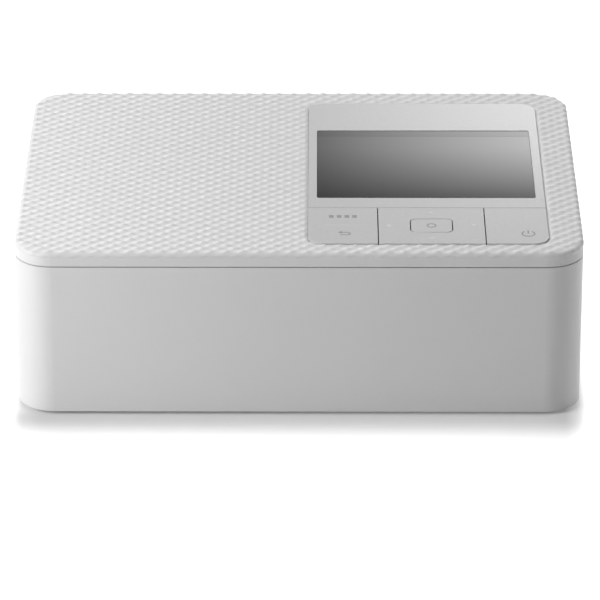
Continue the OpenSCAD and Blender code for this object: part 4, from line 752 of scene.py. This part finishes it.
def seen_directly(tree):
    """1 for rays from the camera, mirrors and glass, else 0."""
    path = add_node(tree, "ShaderNodeLightPath")
    total = path.outputs["Is Camera Ray"]
    for name in ("Is Glossy Ray", "Is Transmission Ray"):
        total = maths(tree, "MAXIMUM", total, path.outputs[name])
    return total


def bare_material(name):
    """Material without nodes: (material, tree, separated object coordinates)."""
    material = bpy.data.materials.new(name)
    material.use_nodes = True
    tree = material.node_tree
    tree.nodes.clear()
    place = add_node(tree, "ShaderNodeTexCoord").outputs["Object"]
    return material, tree, add_node(tree, "ShaderNodeSeparateXYZ", [("Vector", place)]).outputs


# Half the object's footprint, and the reach of the shadow painted on the floor beyond it, along X
# and Y in metres.
FOOTPRINT = (("X", 0.0885, 0.007), ("Y", 0.0655, 0.023))
# Glow of the floor next to the object, kept low there as a painted shadow, and away from it.
GLOW_NEAR_PAINTED_SHADOW, GLOW_FAR = 0.14, 0.66


def floor_with_painted_shadow():
    """Matt white paper: it keeps the object's cast shadow, adds a painted shadow round it where
    its glow is low, and lifts to the background's white.
    """
    material, tree, along = bare_material("white studio paper")
    away = []
    for axis, half, reach in FOOTPRINT:
        out = maths(tree, "ABSOLUTE", along[axis])
        near = remap(tree, out, half, half + 4 * reach, 0.0, 4.0)
        away.append(maths(tree, "MULTIPLY", near, near))
    distance = maths(tree, "SQRT", maths(tree, "ADD", *away))
    # Painted shadow: the glow is low at the footprint and rises with the distance from it.
    base = add_node(tree, "ShaderNodeMapRange", [("Value", distance)],
                    interpolation_type="SMOOTHSTEP",
                    in_1=0.15, in_2=1.0, in_3=GLOW_NEAR_PAINTED_SHADOW, in_4=GLOW_FAR).outputs["Result"]
    # Painted light: to the right the glow rises close to the object, so the shadow ends there.
    amount = maths(tree, "ADD", base, remap(tree, along["X"], 0.086, 0.094, 0.0, 0.42))
    # Painted shadow: in front the glow is lowered further towards the left, where the softbox
    # stands close.
    ahead = remap(tree, along["Y"], -0.062, -0.068)
    left = remap(tree, along["X"], -0.070, 0.050, -0.11, 0.0)
    close = remap(tree, base, GLOW_NEAR_PAINTED_SHADOW, GLOW_FAR, 1.0, 0.0)
    painted_dip = maths(tree, "MULTIPLY", maths(tree, "MULTIPLY", ahead, left), close)
    level = maths(tree, "MULTIPLY", seen_directly(tree), maths(tree, "ADD", amount, painted_dip))
    paper = add_node(tree, "ShaderNodeBsdfDiffuse", in_0=linear("#E6E6E6"))
    lift = add_node(tree, "ShaderNodeEmission", [("Strength", level)], in_0=(1, 1, 1, 1))
    both = add_node(tree, "ShaderNodeAddShader",
                    [(0, paper.outputs[0]), (1, lift.outputs[0])])
    add_node(tree, "ShaderNodeOutputMaterial", [("Surface", both.outputs[0])])
    return material


def area_light(name, place, aim_z, size, power):
    """White square softbox that faces the object's middle at a height."""
    lamp = bpy.data.lights.new(name, "AREA")
    lamp.shape = "RECTANGLE"
    lamp.size = lamp.size_y = size
    lamp.energy = power
    holder = bpy.data.objects.new(name, lamp)
    bpy.context.scene.collection.objects.link(holder)
    holder.location = place
    aim = Vector((0, 0, aim_z)) - Vector(place)
    holder.rotation_euler = aim.to_track_quat("-Z", "Y").to_euler()


def flat_sheet(name, corners, material):
    """One rectangle of a material in the scene."""
    mesh = bpy.data.meshes.new(name)
    mesh.from_pydata(corners, [], [(0, 1, 2, 3)])
    mesh.materials.append(material)
    sheet = bpy.data.objects.new(name, mesh)
    bpy.context.scene.collection.objects.link(sheet)
    return sheet


class PRINTER_OT_studio(bpy.types.Operator):
    """Set the floor, the lights and the camera"""
    bl_idname = "printer.studio"
    bl_label = "Studio"

    def execute(self, context):
        scene = context.scene
        scene.view_settings.view_transform = "Standard"
        self.camera(scene)
        reach = 6.0
        corners = [(x * reach, y * reach, 0) for x, y in ((-1, -1), (1, -1), (1, 1), (-1, 1))]
        floor = flat_sheet("floor", corners, floor_with_painted_shadow())
        self.reflection_card()
        self.room(scene)
        area_light("left softbox", (-0.465, -0.275, 0.30), 0.02, 0.34, 2.36)
        area_light("back softbox", (-0.30, 0.80, 0.45), 0.03, 0.3, 3.0)
        area_light("top softbox", (-0.10, 0.25, 1.20), 0.0, 0.5, 2.62)
        area_light("right fill", (1.2, 0.1, 0.35), 0.03, 0.5, 2.7)
        return {"FINISHED"}

    def camera(self, scene):
        """Camera at the photograph's viewing angle."""
        camera = bpy.data.objects.new("camera", bpy.data.cameras.new("camera"))
        scene.collection.objects.link(camera)
        camera.matrix_world = camera_matrix()
        camera.data.lens = CAMERA_LENS_MM
        camera.data.sensor_width = SENSOR_MM
        camera.data.clip_end = 20
        scene.camera = camera

    def room(self, scene):
        """White where it is seen or mirrored, and dim as a source of light."""
        world = bpy.data.worlds.new("pale room")
        scene.world = world
        world.use_nodes = True
        tree = world.node_tree
        tree.nodes.clear()
        level = remap(tree, seen_directly(tree), 0.0, 1.0, 0.10, 1.0)
        back = add_node(tree, "ShaderNodeBackground", [("Strength", level)], in_0=(1, 1, 1, 1))
        add_node(tree, "ShaderNodeOutputWorld", [("Surface", back.outputs[0])])

    def reflection_card(self):
        """Glowing card behind the object and out of view, which no diffuse surface sees and which
        casts no shadow: it shows only in reflections, where its graded glow paints the display's
        reflection.
        """
        x0, x1, y, z0, z1 = -0.30, 0.34, 0.366, 0.120, 0.330
        material, tree, along = bare_material("graded studio card")
        # Painted reflection: the glow falls off with height and rises to the right, graded for the
        # display.
        fall = remap(tree, along["Z"], 0.2069, 0.2374, 1.2, 0.0)
        side = remap(tree, along["X"], -0.010, 0.100, 0.28, 2.22)
        level = maths(tree, "ADD", maths(tree, "MULTIPLY", fall, side), 0.10)
        glow = add_node(tree, "ShaderNodeEmission", [("Strength", level)], in_0=(1, 1, 1, 1))
        add_node(tree, "ShaderNodeOutputMaterial", [("Surface", glow.outputs[0])])
        card = flat_sheet("reflection_card",
                          [(x0, y, z0), (x1, y, z0), (x1, y, z1), (x0, y, z1)], material)
        card.visible_camera = False
        card.visible_diffuse = False
        card.visible_shadow = False


class PRINTER_PT_panel(bpy.types.Panel):
    """Lists the printer's pieces in the sidebar"""
    bl_idname = "PRINTER_PT_panel"
    bl_label = "Compact Photo Printer"
    bl_space_type = "VIEW_3D"
    bl_region_type = "UI"
    bl_category = "Printer"

    def draw(self, context):
        column = self.layout.column()
        for operator in OPERATORS:
            column.operator(operator.bl_idname)
        for group in (context.scene.printer_colours, context.scene.printer_sizes):
            for name in group.__annotations__:
                column.prop(group, name)


OPERATORS = (PRINTER_OT_finishes, PRINTER_OT_casing, PRINTER_OT_textured_top, PRINTER_OT_panel,
             PRINTER_OT_key_signs, PRINTER_OT_mechanism, PRINTER_OT_studio)
CLASSES = (PrinterColours, PrinterSizes) + OPERATORS + (PRINTER_PT_panel,)


def register():
    for each in CLASSES:
        bpy.utils.register_class(each)
    bpy.types.Scene.printer_colours = bpy.props.PointerProperty(type=PrinterColours)
    bpy.types.Scene.printer_sizes = bpy.props.PointerProperty(type=PrinterSizes)


def unregister():
    del bpy.types.Scene.printer_sizes
    del bpy.types.Scene.printer_colours
    for each in reversed(CLASSES):
        bpy.utils.unregister_class(each)


def main():
    register()
    bpy.ops.printer.finishes()
    bpy.ops.printer.casing()
    bpy.ops.printer.textured_top()
    bpy.ops.printer.panel()
    bpy.ops.printer.key_signs()
    bpy.ops.printer.mechanism()
    bpy.ops.printer.studio()


if __name__ == "__main__":
    main()
